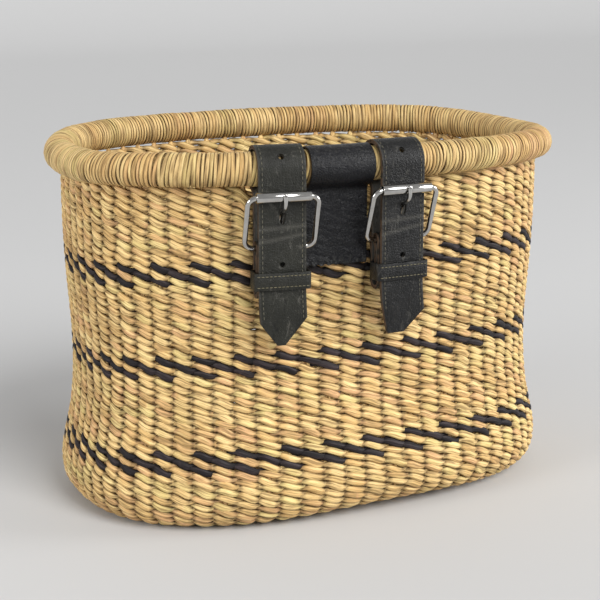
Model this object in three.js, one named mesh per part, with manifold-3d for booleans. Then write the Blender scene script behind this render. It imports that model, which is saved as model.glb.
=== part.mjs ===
// Handlebar basket: an oval straw basket with a wrapped rim, three dyed bands, a leather patch
// over the rim, and two leather belts with roller buckles that hold it on a handlebar.
//
// Millimetres, +Z up. The origin is the middle of the floor's underside. +X runs along the
// basket's length and the belts are on the front, towards -Y.

import * as THREE from "three";
import { mergeVertices } from "three/addons/utils/BufferGeometryUtils.js";
import Module from "manifold-3d";

const wasm = await Module();
wasm.setup();

// ---------------------------------------------------------------- driving dimensions

const GAP = 0.3; // between pieces that touch
const RUNNING_GAP = 0.35; // between a bar and what turns on it

// basket
const LENGTH = 360; // over the rim
const WIDTH = 242; // over the rim
const HEIGHT = 248; // ground to the top of the rim
const OVAL_POWER = 2.5; // 2 is an ellipse, more is squarer
const STATIONS = 52; // facets round the oval
const WALL = 6;
const FLOOR = 6;
const FOOT_CORNER = 21; // outer radius where the wall turns into the floor
const FOOT_FLARE = 5.8; // how far the foot stands out of the wall
const FOOT_FLARE_HEIGHT = 27;
const WAIST_PINCH = 4.1; // how far the middle of the wall is drawn in
const WAIST_HEIGHT = 104;
const WAIST_SPREAD = 50;
const ROW_BOW = 6.5; // the rows lie this much higher at mid-front than at the ends

// rim
const RIM_RADIUS = 11; // outside of the wrapping
const RIM_OVERHANG = 12.4; // rim's outer edge past the wall's outer face
const WRAP_THICKNESS = 3.2;

// dyed bands
const BAND_HEIGHT = 15;
const BAND_DEPTH = 2.5;
const BAND_LOWEST = 46; // middle of the lowest band
const BAND_PITCH = 61.5;
const BAND_NAMES = ["lower", "middle", "upper"];

// leather patch
const PATCH_SIDE_GAP = 3; // to the belt on each side
const PATCH_THICKNESS = 1.5;
const PATCH_DROP = 63; // from the rim's middle to the lower edge, in front
const PATCH_INNER_DROP = 32; // the same, inside
const PATCH_TUCK = 60; // degrees past the rim's front that it hugs the rim

// belts
const BELTS = [{ side: "left", at: -68 }, { side: "right", at: 10 }];
const STRAP_WIDTH = 30;
const PLY = 1.05;
const PLY_GAP = 0.3;
const RIM_CLEARANCE = 1.2; // belt to rim
const WALL_CLEARANCE = 0.6; // belt to wall
const SLOT_CLEARANCE = 1; // slot past each edge of the belt and below it
const TAIL_DROP = 111; // tip of the belt below the rim's middle
const TIP_LENGTH = 15;
const TIP_FLAT = 8; // blunt end of the tip
const HOLE_RADIUS = 1.8;
const LOW_HOLE_DROP = 57.5; // free hole under the buckle, below the rim's middle
const RIM_HOLE_ANGLE = 37; // degrees above the rim's front
const RIM_LEAVE = 250; // degrees round the rim where the belt leaves it
const SLOT_BEND = 3; // radius of the belt's bend out of the slot
const RETURN_DROP = 74.1; // middle of the belt's lower turn, below the rim's middle
const FOLD_GAP = 0.5; // between the belt's back run and its fold round the base bar
const FOLD_BEND = 3; // radius of the two bends of the sewn-down end
const FOLD_TURN = 60; // degrees of each of those bends
const FOLD_END = 14; // straight stretch of the sewn-down end

// buckle
const WIRE = 3.5;
const FRAME_SIDE_GAP = 5.5; // between the belt's edge and the wire
const FRAME_CORNER = 5.5; // at the wire's middle
const BUCKLE_DROP = 48; // base bar below the rim's middle
const BUCKLE_RISE = 33; // roller above the base bar
const ROLLER_RADIUS = 3.25;
const ROLLER_OVERLAP = 0.75; // how far the roller reaches past the start of each corner
const ROLLER_CLEARANCE = 0.4; // roller to belt
const PRONG_WIRE = 2.5;
const PRONG_SLOT = 5.5; // width of the slot in the folded end
const PRONG_HOLE_WIDTH = 5;
const PRONG_HOLE_HEIGHT = 12.4;
const PRONG_HOLE_SAG = 3; // middle of that hole below the prong's middle
const PRONG_RISE = 22.3; // the prong comes out through the belt this far above the base bar

// keeper
const KEEPER_HEIGHT = 11;
const KEEPER_SIDE_GAP = 1.75; // inside the keeper, past each edge of the belt
const KEEPER_THICKNESS = 1.5;
const KEEPER_DROP = 67.5; // middle of the keeper below the rim's middle
const KEEPER_CLEARANCE = 0.6;

// ---------------------------------------------------------------- derived sizes

const WALL_HALF_LENGTH = LENGTH / 2 - RIM_OVERHANG;
const WALL_HALF_WIDTH = WIDTH / 2 - RIM_OVERHANG;
const RIM_OUT = RIM_OVERHANG - RIM_RADIUS; // rim's middle past the wall's outer face
const RIM_Z = HEIGHT - RIM_RADIUS;
const CORE_RADIUS = RIM_RADIUS - WRAP_THICKNESS - GAP;
const WALL_TOP = RIM_Z - Math.sqrt(CORE_RADIUS ** 2 - RIM_OUT ** 2) - GAP;

const STRAP = 2 * PLY + PLY_GAP;
const RING_RADIUS = RIM_RADIUS + RIM_CLEARANCE + STRAP / 2; // middle of the belt round the rim
const FRONT_OUT = RIM_OUT + RING_RADIUS; // middle of the belt's front run past the wall
const BACK_OUT = WALL_CLEARANCE + STRAP / 2;
const WRAP_RADIUS = WIRE / 2 + GAP + STRAP / 2; // middle of the belt round the base bar
const RETURN_RADIUS = WRAP_RADIUS + (STRAP + FOLD_GAP) / 2; // middle of the belt's lower turn
const RETURN_OUT = BACK_OUT + 2 * RETURN_RADIUS;
const BASE_BAR = new THREE.Vector2(RETURN_OUT - WRAP_RADIUS, RIM_Z - BUCKLE_DROP);
const ROLLER = new THREE.Vector2(
  FRONT_OUT + STRAP / 2 + ROLLER_CLEARANCE + ROLLER_RADIUS,
  BASE_BAR.y + BUCKLE_RISE,
);

const PATCH_AT = (BELTS[0].at + BELTS[1].at) / 2;
const PATCH_WIDTH = BELTS[1].at - BELTS[0].at - STRAP_WIDTH - 2 * PATCH_SIDE_GAP;
const FRAME_WIDTH = STRAP_WIDTH + 2 * (FRAME_SIDE_GAP + WIRE); // outside
const ROLLER_LENGTH = FRAME_WIDTH - WIRE - 2 * (FRAME_CORNER - ROLLER_OVERLAP);
const KEEPER_WIDTH = STRAP_WIDTH + 2 * (KEEPER_SIDE_GAP + KEEPER_THICKNESS); // outside

const degrees = THREE.MathUtils.degToRad;

// ---------------------------------------------------------------- the oval

// A point of the wall's outer outline at a given angle.
function ovalPoint(angle) {
  const power = 2 / OVAL_POWER;
  const cosine = Math.cos(angle);
  const sine = Math.sin(angle);
  return new THREE.Vector2(
    WALL_HALF_LENGTH * Math.sign(cosine) * Math.abs(cosine) ** power,
    WALL_HALF_WIDTH * Math.sign(sine) * Math.abs(sine) ** power,
  );
}

// The outline's outward normal at one of its points.
function ovalNormal(point) {
  const slope = (value, half) => Math.sign(value) * Math.abs(value / half) ** (OVAL_POWER - 1) / half;
  return new THREE.Vector2(slope(point.x, WALL_HALF_LENGTH), slope(point.y, WALL_HALF_WIDTH)).normalize();
}

// The outline measured along its length, starting at mid-front, so that stations are evenly spaced.
const OUTLINE_STEPS = 4000;
const outline = { points: [], lengths: [] };
for (let step = 0; step <= OUTLINE_STEPS; step += 1) {
  const point = ovalPoint(-Math.PI / 2 + (2 * Math.PI * step) / OUTLINE_STEPS);
  const before = outline.points.at(-1);
  outline.lengths.push(before ? outline.lengths.at(-1) + point.distanceTo(before) : 0);
  outline.points.push(point);
}
const PERIMETER = outline.lengths.at(-1);

// The place on the outline at a distance from mid-front, counted towards +X.
function placeAlong(distance) {
  const wanted = ((distance % PERIMETER) + PERIMETER) % PERIMETER;
  const index = outline.lengths.findIndex((length) => length > wanted);
  const [low, high] = [outline.lengths[index - 1], outline.lengths[index]];
  const share = (wanted - low) / (high - low);
  const point = outline.points[index - 1].clone().lerp(outline.points[index], share);
  return { point, normal: ovalNormal(point) };
}

// The place on the front wall at a given x, and its distance from mid-front.
function placeOnFront(x) {
  const share = 1 - Math.abs(x / WALL_HALF_LENGTH) ** OVAL_POWER;
  const point = new THREE.Vector2(x, -WALL_HALF_WIDTH * share ** (1 / OVAL_POWER));
  const index = outline.points.findIndex((sample) => sample.x >= Math.abs(x));
  return { point, normal: ovalNormal(point), distance: Math.sign(x) * outline.lengths[index] };
}

// How far the wall's outer face stands out of the outline at a given height.
function wallOut(z) {
  const flare = FOOT_FLARE * Math.exp(-(((z - FOOT_FLARE_HEIGHT) / FOOT_FLARE_HEIGHT) ** 2));
  const waist = WAIST_PINCH * Math.exp(-(((z - WAIST_HEIGHT) / WAIST_SPREAD) ** 2));
  return flare - waist;
}

// The rows' bow: nothing at the floor and the top of the wall, most in between.
function rowLift(z, normal) {
  const middle = Math.min(Math.abs((2 * z) / WALL_TOP - 1), 1);
  return ROW_BOW * (1 - middle ** 4) * (normal.y ** 2 - 0.5);
}

// ---------------------------------------------------------------- geometry helpers

function signedVolume(geometry) {
  const position = geometry.getAttribute("position");
  const corners = [0, 1, 2].map(() => new THREE.Vector3());
  let volume = 0;
  for (let start = 0; start < geometry.index.count; start += 3) {
    corners.forEach((corner, offset) => {
      corner.fromBufferAttribute(position, geometry.index.getX(start + offset));
    });
    volume += corners[0].dot(corners[1].clone().cross(corners[2])) / 6;
  }
  return volume;
}

// Shared vertices are merged, and the faces are turned to point outwards.
function closed(geometry) {
  geometry.deleteAttribute("normal");
  geometry.deleteAttribute("uv");
  const merged = mergeVertices(geometry, 1e-4);
  if (signedVolume(merged) < 0) {
    merged.setIndex(Array.from(merged.index.array).reverse());
  }
  return merged;
}

function solid(geometry) {
  const body = closed(geometry);
  return new wasm.Manifold(new wasm.Mesh({
    numProp: 3,
    vertProperties: new Float32Array(body.getAttribute("position").array),
    triVerts: new Uint32Array(body.index.array),
  }));
}

function fromSolid(body) {
  const mesh = body.getMesh();
  const geometry = new THREE.BufferGeometry();
  geometry.setAttribute("position", new THREE.BufferAttribute(mesh.vertProperties, 3));
  geometry.setIndex(new THREE.BufferAttribute(mesh.triVerts, 1));
  return geometry;
}

function cut(geometry, tools) {
  return fromSolid(tools.reduce((body, tool) => body.subtract(solid(tool)), solid(geometry)));
}

function named(name, geometry, material) {
  geometry.computeVertexNormals();
  const mesh = new THREE.Mesh(geometry, material);
  mesh.name = name;
  return mesh;
}

// A closed section swept round a closed loop: place(share, section point) gives each vertex.
function loop(section, stations, place) {
  const profile = [...section, section[0]];
  const geometry = new THREE.LatheGeometry(profile, stations);
  const position = geometry.getAttribute("position");
  for (let vertex = 0; vertex < position.count; vertex += 1) {
    const station = Math.floor(vertex / profile.length) % stations;
    const { x, y, z } = place(station / stations, profile[vertex % profile.length]);
    position.setXYZ(vertex, x, y, z);
  }
  return closed(geometry);
}

// A section given as (out of the outline, height), carried round the oval.
function ovalRing(section) {
  return loop(section, STATIONS, (share, { x: out, y: z }) => {
    const { point, normal } = placeAlong(share * PERIMETER);
    return {
      x: point.x + normal.x * out,
      y: point.y + normal.y * out,
      z: z + rowLift(z, normal),
    };
  });
}

function arc(centre, radius, from, to, steps) {
  return Array.from({ length: steps + 1 }, (_, step) => {
    const angle = degrees(from + ((to - from) * step) / steps);
    return new THREE.Vector2(centre.x + radius * Math.cos(angle), centre.y + radius * Math.sin(angle));
  });
}

// ---------------------------------------------------------------- bent leather

const DEGREES_PER_STEP = 20;

// A path in (out of the wall, height) that is built like a route: ahead, then turn, and so on.
// Positive turns are to the left. Each point keeps its heading, to offset the leather's faces.
function route(start, heading, moves) {
  const points = [{ at: start.clone(), heading }];
  for (const { ahead = 0, turn = 0, radius = 0 } of moves) {
    const steps = Math.max(1, Math.ceil(Math.abs(turn) / DEGREES_PER_STEP));
    for (let step = 0; step < steps; step += 1) {
      const last = points.at(-1);
      const next = last.heading + turn / steps;
      const chord = turn ? 2 * radius * Math.sin(degrees(Math.abs(turn) / steps / 2)) : ahead;
      const along = degrees((last.heading + next) / 2);
      const move = new THREE.Vector2(Math.cos(along), Math.sin(along)).multiplyScalar(chord);
      points.push({ at: last.at.clone().add(move), heading: next });
    }
  }
  return points;
}

// The outline of a layer that lies between two offsets to the left of a path.
function layerShape(path, near, far) {
  const offset = (distance) => ({ at, heading }) => {
    const left = degrees(heading + 90);
    return new THREE.Vector2(at.x + distance * Math.cos(left), at.y + distance * Math.sin(left));
  };
  return new THREE.Shape([...path.map(offset(near)), ...path.map(offset(far)).reverse()]);
}

// Turns (out, height, sideways) into a piece's own frame, where -Y is out of the wall.
const OUT_HEIGHT_SIDE = new THREE.Matrix4().makeBasis(
  new THREE.Vector3(0, -1, 0),
  new THREE.Vector3(0, 0, 1),
  new THREE.Vector3(-1, 0, 0),
);

function sheet(shape, width, steps = 1) {
  const geometry = new THREE.ExtrudeGeometry(shape, { depth: width, steps, bevelEnabled: false });
  return geometry.translate(0, 0, -width / 2).applyMatrix4(OUT_HEIGHT_SIDE);
}

// ---------------------------------------------------------------- the belt's route

// The tail, the front run, round the rim, out through the slot and the bend down the wall.
function upperBelt() {
  const leave = degrees(RIM_LEAVE);
  const heading = RIM_LEAVE + 90 - 360; // below level, out through the slot
  const leaveOut = RIM_OUT + RING_RADIUS * Math.cos(leave);
  const bendOut = SLOT_BEND * (1 + Math.sin(degrees(heading)));
  const through = (BACK_OUT - bendOut - leaveOut) / Math.cos(degrees(heading));
  return route(new THREE.Vector2(FRONT_OUT, RIM_Z - TAIL_DROP), 90, [
    { ahead: TAIL_DROP },
    { turn: RIM_LEAVE, radius: RING_RADIUS },
    { ahead: through },
    { turn: -90 - heading, radius: SLOT_BEND },
  ]);
}

// Down the wall, back up, round the buckle's base bar, and the end that is sewn down.
function lowerBelt(start) {
  return route(start.at, start.heading, [
    { ahead: start.at.y - (RIM_Z - RETURN_DROP) },
    { turn: 180, radius: RETURN_RADIUS },
    { ahead: RETURN_DROP - BUCKLE_DROP },
    { turn: 180, radius: WRAP_RADIUS },
    { turn: FOLD_TURN, radius: FOLD_BEND },
    { turn: -FOLD_TURN, radius: FOLD_BEND },
    { ahead: FOLD_END },
  ]);
}

const UPPER_BELT = upperBelt();
const BELT_PATH = [...UPPER_BELT, ...lowerBelt(UPPER_BELT.at(-1)).slice(1)];
const SLOT_LOW = UPPER_BELT.at(-1).at.y - SLOT_CLEARANCE; // lower edge of the belts' slots

// ---------------------------------------------------------------- basket

const straw = new THREE.MeshStandardMaterial({ color: 0xcaa56b, roughness: 0.75, metalness: 0 });
const dyedStraw = new THREE.MeshStandardMaterial({ color: 0x55443b, roughness: 0.7, metalness: 0 });
const rimStraw = new THREE.MeshStandardMaterial({ color: 0xd1ab6c, roughness: 0.7, metalness: 0 });
const coreStraw = new THREE.MeshStandardMaterial({ color: 0xa98a5c, roughness: 0.9, metalness: 0 });
const leather = new THREE.MeshStandardMaterial({ color: 0x23231f, roughness: 0.5, metalness: 0 });
const lining = new THREE.MeshStandardMaterial({ color: 0x3a3730, roughness: 0.7, metalness: 0 });
const patchLeather = new THREE.MeshStandardMaterial({ color: 0x191a1d, roughness: 0.45, metalness: 0 });
const nickel = new THREE.MeshStandardMaterial({ color: 0xd8d8d6, roughness: 0.15, metalness: 1 });

const BANDS = BAND_NAMES.map((name, row) => ({ name, z: BAND_LOWEST + row * BAND_PITCH }));
const FOOT_END = wallOut(FOOT_CORNER) - FOOT_CORNER; // where the wall's foot meets the floor
const FLAT_STEPS = 3;

function heights(from, to) {
  return Array.from({ length: FLAT_STEPS }, (_, step) => from + ((to - from) * step) / FLAT_STEPS);
}

function wallSection() {
  const onWall = (inset) => (z) => new THREE.Vector2(wallOut(z) - inset, z);
  const corner = new THREE.Vector2(FOOT_END, FOOT_CORNER);
  const outer = arc(corner, FOOT_CORNER, -90, -22.5, 3);
  let from = FOOT_CORNER;
  for (const { z } of BANDS) {
    const low = z - BAND_HEIGHT / 2 - GAP;
    const high = z + BAND_HEIGHT / 2 + GAP;
    outer.push(...heights(from, low).map(onWall(0)), onWall(0)(low));
    outer.push(onWall(BAND_DEPTH + GAP)(low), onWall(BAND_DEPTH + GAP)(high));
    from = high;
  }
  outer.push(...heights(from, WALL_TOP).map(onWall(0)), onWall(0)(WALL_TOP));
  const inner = [...heights(FOOT_CORNER, WALL_TOP), WALL_TOP].map(onWall(WALL)).reverse();
  return [...outer, ...inner, ...arc(corner, FOOT_CORNER - WALL, -22.5, -90, 3)];
}

// A box across the top of the wall that lets a belt through under the rim.
function slotTool({ at }) {
  const { point, normal } = placeOnFront(at);
  const deep = 6 * WALL;
  const tool = new THREE.BoxGeometry(STRAP_WIDTH + 2 * SLOT_CLEARANCE, deep, RIM_Z - SLOT_LOW);
  tool.translate(0, 0, (SLOT_LOW + RIM_Z) / 2).rotateZ(Math.atan2(normal.x, -normal.y));
  return tool.translate(point.x, point.y, 0);
}

function wovenWall() {
  return named("woven_wall", cut(ovalRing(wallSection()), BELTS.map(slotTool)), straw);
}

function wovenFloor() {
  const out = FOOT_END - GAP;
  const rim = Array.from({ length: STATIONS }, (_, station) => {
    const { point, normal } = placeAlong((station / STATIONS) * PERIMETER);
    return point.addScaledVector(normal, out);
  });
  const plate = new THREE.ExtrudeGeometry(new THREE.Shape(rim), { depth: FLOOR, bevelEnabled: false });
  return named("woven_floor", closed(plate), straw);
}

function dyedBand({ name, z }) {
  const section = [[0, -1], [0, 1], [BAND_DEPTH, 1], [BAND_DEPTH, -1]].map(([inset, end]) => {
    const height = z + (end * BAND_HEIGHT) / 2;
    return new THREE.Vector2(wallOut(height) - inset, height);
  });
  return named(`dyed_band_${name}`, ovalRing(section), dyedStraw);
}

const RIM_CENTRE = new THREE.Vector2(RIM_OUT, RIM_Z);

function rimCore() {
  const section = arc(RIM_CENTRE, CORE_RADIUS, 0, 315, 7);
  return named("rim_core", ovalRing(section), coreStraw);
}

// The wrapping is open where the top of the wall goes up into it: each lip clears the wall's
// face and its top corner.
function rimWrap() {
  const angle = (x, y) => THREE.MathUtils.radToDeg(Math.atan2(y, x));
  const below = WALL_TOP - RIM_Z;
  const outerLip = GAP - RIM_OUT;
  const lipDrop = -Math.sqrt(RIM_RADIUS ** 2 - outerLip ** 2);
  const from = Math.max(angle(outerLip, below), angle(outerLip, lipDrop));
  const to = 360 + angle(-WALL - GAP - RIM_OUT, below);
  const innerSteps = 8;
  const flats = Math.cos(degrees((to - from) / innerSteps / 2));
  const outer = arc(RIM_CENTRE, RIM_RADIUS, from, to, 12);
  const inner = arc(RIM_CENTRE, (CORE_RADIUS + GAP) / flats, to, from, innerSteps);
  return named("rim_wrap", ovalRing([...outer, ...inner]), rimStraw);
}

// The patch hangs inside, goes over the rim, tucks in under it and lies down the wall.
function leatherPatch() {
  const radius = RIM_RADIUS + GAP + PATCH_THICKNESS / 2;
  const lying = GAP + PATCH_THICKNESS / 2;
  const bend = 4;
  const leave = degrees(PATCH_TUCK);
  const slanted = (RIM_OUT + radius * Math.cos(leave) - lying - bend * (1 - Math.cos(leave)))
    / Math.sin(leave);
  const fallen = radius * Math.sin(leave) + slanted * Math.cos(leave) + bend * Math.sin(leave);
  const path = route(new THREE.Vector2(RIM_OUT - radius, RIM_Z - PATCH_INNER_DROP), 90, [
    { ahead: PATCH_INNER_DROP },
    { turn: -180 - PATCH_TUCK, radius },
    { ahead: slanted },
    { turn: PATCH_TUCK, radius: bend },
    { ahead: PATCH_DROP - fallen },
  ]);
  const shape = layerShape(path, -PATCH_THICKNESS / 2, PATCH_THICKNESS / 2);
  const geometry = sheet(shape, PATCH_WIDTH, 5);
  const position = geometry.getAttribute("position");
  const { distance } = placeOnFront(PATCH_AT);
  for (let vertex = 0; vertex < position.count; vertex += 1) {
    const { point, normal } = placeAlong(distance + position.getX(vertex));
    point.addScaledVector(normal, -position.getY(vertex));
    position.setXY(vertex, point.x, point.y);
  }
  return named("leather_patch", closed(geometry), patchLeather);
}

// ---------------------------------------------------------------- belts

// The corners that are cut off the tail to leave its blunt point.
function tipTools() {
  const end = RIM_Z - TAIL_DROP;
  const half = STRAP_WIDTH / 2;
  return [-1, 1].map((side) => {
    const corner = new THREE.Shape([
      new THREE.Vector2(side * (TIP_FLAT / 2), end),
      new THREE.Vector2(side * (TIP_FLAT / 2), end - 1),
      new THREE.Vector2(side * (half + 1), end - 1),
      new THREE.Vector2(side * (half + 1), end + TIP_LENGTH),
      new THREE.Vector2(side * half, end + TIP_LENGTH),
    ]);
    const tool = new THREE.ExtrudeGeometry(corner, { depth: 2 * STRAP, bevelEnabled: false });
    return tool.rotateX(Math.PI / 2).translate(0, -FRONT_OUT + STRAP, 0);
  });
}

function frontHole(z, width, height) {
  const tool = new THREE.CylinderGeometry(width / 2, width / 2, STRAP + 2 * GAP, 12);
  return tool.scale(1, 1, height / width).translate(0, -FRONT_OUT, z);
}

function rimHole() {
  const tool = new THREE.CylinderGeometry(HOLE_RADIUS, HOLE_RADIUS, 2 * STRAP, 12);
  tool.translate(0, -RING_RADIUS, 0).rotateX(-degrees(RIM_HOLE_ANGLE));
  return tool.translate(0, -RIM_OUT, RIM_Z);
}

// The slot in the fold round the base bar, where the prong's eye sits.
function prongSlot() {
  const deep = WRAP_RADIUS + STRAP / 2 + GAP;
  const high = WRAP_RADIUS + STRAP;
  const tool = new THREE.BoxGeometry(PRONG_SLOT, 2 * deep, 2 * high);
  return tool.translate(0, -BASE_BAR.x, BASE_BAR.y);
}

function strapPlies(side) {
  const tools = [
    ...tipTools(),
    frontHole(RIM_Z - LOW_HOLE_DROP, 2 * HOLE_RADIUS, 2 * HOLE_RADIUS),
    frontHole(BASE_BAR.y + PRONG_RISE - PRONG_HOLE_SAG, PRONG_HOLE_WIDTH, PRONG_HOLE_HEIGHT),
    rimHole(),
    prongSlot(),
  ];
  const ply = (name, near, far, material) => {
    const geometry = sheet(layerShape(BELT_PATH, near, far), STRAP_WIDTH);
    return named(`${side}_${name}`, cut(geometry, tools), material);
  };
  return [
    ply("strap_face", -STRAP / 2, -PLY_GAP / 2, leather),
    ply("strap_lining", PLY_GAP / 2, STRAP / 2, lining),
  ];
}

function keeper(side) {
  const foldOut = BASE_BAR.x - WRAP_RADIUS + 2 * FOLD_BEND * (1 - Math.cos(degrees(FOLD_TURN)));
  const near = foldOut - STRAP / 2 - KEEPER_CLEARANCE - KEEPER_THICKNESS;
  const far = FRONT_OUT + STRAP / 2 + KEEPER_CLEARANCE + KEEPER_THICKNESS;
  const rectangle = (inset) => [
    new THREE.Vector2(KEEPER_WIDTH / 2 - inset, -near - inset),
    new THREE.Vector2(-KEEPER_WIDTH / 2 + inset, -near - inset),
    new THREE.Vector2(-KEEPER_WIDTH / 2 + inset, -far + inset),
    new THREE.Vector2(KEEPER_WIDTH / 2 - inset, -far + inset),
  ];
  const band = new THREE.Shape(rectangle(0));
  band.holes.push(new THREE.Path(rectangle(KEEPER_THICKNESS)));
  const geometry = new THREE.ExtrudeGeometry(band, { depth: KEEPER_HEIGHT, bevelEnabled: false });
  geometry.translate(0, 0, RIM_Z - KEEPER_DROP - KEEPER_HEIGHT / 2);
  return named(`${side}_keeper`, closed(geometry), leather);
}

// ---------------------------------------------------------------- buckles

const FRAME_TILT = Math.atan2(ROLLER.x - BASE_BAR.x, ROLLER.y - BASE_BAR.y);
const FRAME_LENGTH = ROLLER.distanceTo(BASE_BAR); // between the two bars' middles
const CORNER_STEPS = 4;

// The frame's loop as points in its own plane, with the base bar along y = 0.
function frameLoop() {
  const right = (FRAME_WIDTH - WIRE) / 2 - FRAME_CORNER;
  const top = FRAME_LENGTH - FRAME_CORNER;
  const corners = [
    [right, FRAME_CORNER, -90],
    [right, top, 0],
    [-right, top, 90],
    [-right, FRAME_CORNER, 180],
  ];
  return corners.flatMap(([x, y, from]) => {
    const points = arc(new THREE.Vector2(x, y), FRAME_CORNER, from, from + 90, CORNER_STEPS);
    return points.map((at, step) => ({ at, out: degrees(from + (90 * step) / CORNER_STEPS) }));
  });
}

function buckleFrame(side) {
  const stations = frameLoop();
  const section = arc(new THREE.Vector2(), WIRE / 2, 0, 315, 7);
  const geometry = loop(section, stations.length, (share, { x, y }) => {
    const { at, out } = stations[Math.round(share * stations.length)];
    const flat = new THREE.Vector3(at.x + x * Math.cos(out), y, at.y + x * Math.sin(out));
    flat.applyAxisAngle(new THREE.Vector3(1, 0, 0), FRAME_TILT);
    return flat.add(new THREE.Vector3(0, -BASE_BAR.x, BASE_BAR.y));
  });
  return named(`${side}_buckle_frame`, geometry, nickel);
}

function buckleRoller(side) {
  const inner = WIRE / 2 + RUNNING_GAP;
  const half = ROLLER_LENGTH / 2;
  const section = [[inner, -half], [ROLLER_RADIUS, -half], [ROLLER_RADIUS, half], [inner, half]];
  const profile = [...section, section[0]].map(([radius, along]) => new THREE.Vector2(radius, along));
  const geometry = new THREE.LatheGeometry(profile, 16).rotateZ(Math.PI / 2);
  return named(`${side}_buckle_roller`, closed(geometry.translate(0, -ROLLER.x, ROLLER.y)), nickel);
}

// The prong: an eye round the base bar, a shank behind the belt, and a tip that comes out through
// the belt's hole and lies over the roller.
function buckleProng(side) {
  const eyeRadius = WIRE / 2 + RUNNING_GAP + PRONG_WIRE / 2;
  const shankOut = BASE_BAR.x + eyeRadius;
  const holeZ = BASE_BAR.y + PRONG_RISE;
  const overRoller = ROLLER.x + ROLLER_RADIUS + PRONG_WIRE / 2 + ROLLER_CLEARANCE;
  const middle = [
    [shankOut, BASE_BAR.y],
    [shankOut, BASE_BAR.y + PRONG_RISE / 2],
    [shankOut + 0.2, holeZ - 5.5],
    [FRONT_OUT, holeZ],
    [(FRONT_OUT + overRoller) / 2, ROLLER.y - 2.6 * ROLLER_RADIUS],
    [overRoller - 0.8, ROLLER.y - 1.4 * ROLLER_RADIUS],
    [overRoller, ROLLER.y],
    [overRoller - 0.2, ROLLER.y + 0.9 * ROLLER_RADIUS],
  ];
  const line = new THREE.CatmullRomCurve3(middle.map(([out, z]) => new THREE.Vector3(0, -out, z)));
  const round = new THREE.Shape(arc(new THREE.Vector2(), PRONG_WIRE / 2, 0, 315, 7));
  const shank = new THREE.ExtrudeGeometry(round, { steps: 20, extrudePath: line, bevelEnabled: false });
  const eye = new THREE.TorusGeometry(eyeRadius, PRONG_WIRE / 2, 8, 16);
  eye.rotateY(Math.PI / 2).translate(0, -BASE_BAR.x, BASE_BAR.y);
  return named(`${side}_buckle_prong`, fromSolid(solid(shank).add(solid(eye))), nickel);
}

// ---------------------------------------------------------------- assembly

function belt({ side, at }) {
  const group = new THREE.Group();
  const { point, normal } = placeOnFront(at);
  group.position.set(point.x, point.y, 0);
  group.rotation.z = Math.atan2(normal.x, -normal.y);
  group.add(...strapPlies(side), keeper(side));
  group.add(buckleFrame(side), buckleRoller(side), buckleProng(side));
  return group;
}

const basket = new THREE.Group();
basket.add(wovenWall(), wovenFloor(), ...BANDS.map(dyedBand));
basket.add(rimCore(), rimWrap(), leatherPatch());
basket.add(...BELTS.map(belt));

export default basket;
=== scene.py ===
"""The looks of the handlebar basket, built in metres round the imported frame."""

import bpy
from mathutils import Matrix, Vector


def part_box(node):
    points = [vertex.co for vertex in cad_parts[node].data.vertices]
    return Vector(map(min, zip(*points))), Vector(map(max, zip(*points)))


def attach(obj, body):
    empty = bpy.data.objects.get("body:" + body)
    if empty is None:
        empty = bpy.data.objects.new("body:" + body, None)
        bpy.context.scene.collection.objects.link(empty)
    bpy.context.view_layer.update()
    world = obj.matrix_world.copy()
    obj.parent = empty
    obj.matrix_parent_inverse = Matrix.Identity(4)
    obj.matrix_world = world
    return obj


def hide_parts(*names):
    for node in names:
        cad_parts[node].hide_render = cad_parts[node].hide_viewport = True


bl_info = {
    "name": "Handlebar basket",
    "version": (1, 0, 0),
    "blender": (4, 5, 0),
    "location": "3D View > Sidebar > Basket",
    "description": "Twined straw basket with a wrapped rim, a leather patch and two buckled belts",
    "category": "Add Mesh",
}

import math

import bmesh
import bpy
import numpy as np
from bpy.props import FloatProperty, FloatVectorProperty, IntProperty, PointerProperty
from bpy.types import Operator, Panel, PropertyGroup
from mathutils import Matrix, Vector

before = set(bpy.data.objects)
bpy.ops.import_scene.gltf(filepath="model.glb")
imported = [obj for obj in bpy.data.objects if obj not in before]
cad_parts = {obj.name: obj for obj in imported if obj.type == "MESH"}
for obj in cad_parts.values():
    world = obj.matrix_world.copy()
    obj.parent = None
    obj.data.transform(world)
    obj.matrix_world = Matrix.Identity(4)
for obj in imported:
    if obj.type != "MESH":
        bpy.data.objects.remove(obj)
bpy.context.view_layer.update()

MM = 0.001
RIM_LOW, RIM_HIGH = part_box("rim_wrap")
SIDES = ("left", "right")

# ---------------------------------------------------------------- sizes shared with the frame

OVAL_POWER = 2.5
RIM_RADIUS = 11 * MM
RIM_OVERHANG = 12.4 * MM
RIM_OUT = RIM_OVERHANG - RIM_RADIUS
RIM_Z = RIM_HIGH.z - RIM_RADIUS
WALL_HALF_LENGTH = (RIM_HIGH.x - RIM_LOW.x) / 2 - RIM_OVERHANG
WALL_HALF_WIDTH = (RIM_HIGH.y - RIM_LOW.y) / 2 - RIM_OVERHANG
WALL = 6 * MM
WALL_TOP = 229.33 * MM
FOOT_CORNER = 21 * MM
FOOT_FLARE, FOOT_FLARE_HEIGHT = 5.8 * MM, 27 * MM
WAIST_PINCH, WAIST_HEIGHT, WAIST_SPREAD = 4.1 * MM, 104 * MM, 50 * MM
ROW_BOW = 6.5 * MM
BAND_HEIGHTS = {"lower": 46 * MM, "middle": 107.5 * MM, "upper": 169 * MM}
BAND_STEP = 61.5 * MM
ROWS_TO_A_STEP = 13
TOP_ROW_Z = 222.3 * MM
FOOT_LIFT = 4.2 * MM
SLOT_DIP = 4.2 * MM
RIM_DRAWN_IN = 2.2 * MM
RIM_DIP = 3.2 * MM

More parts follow.
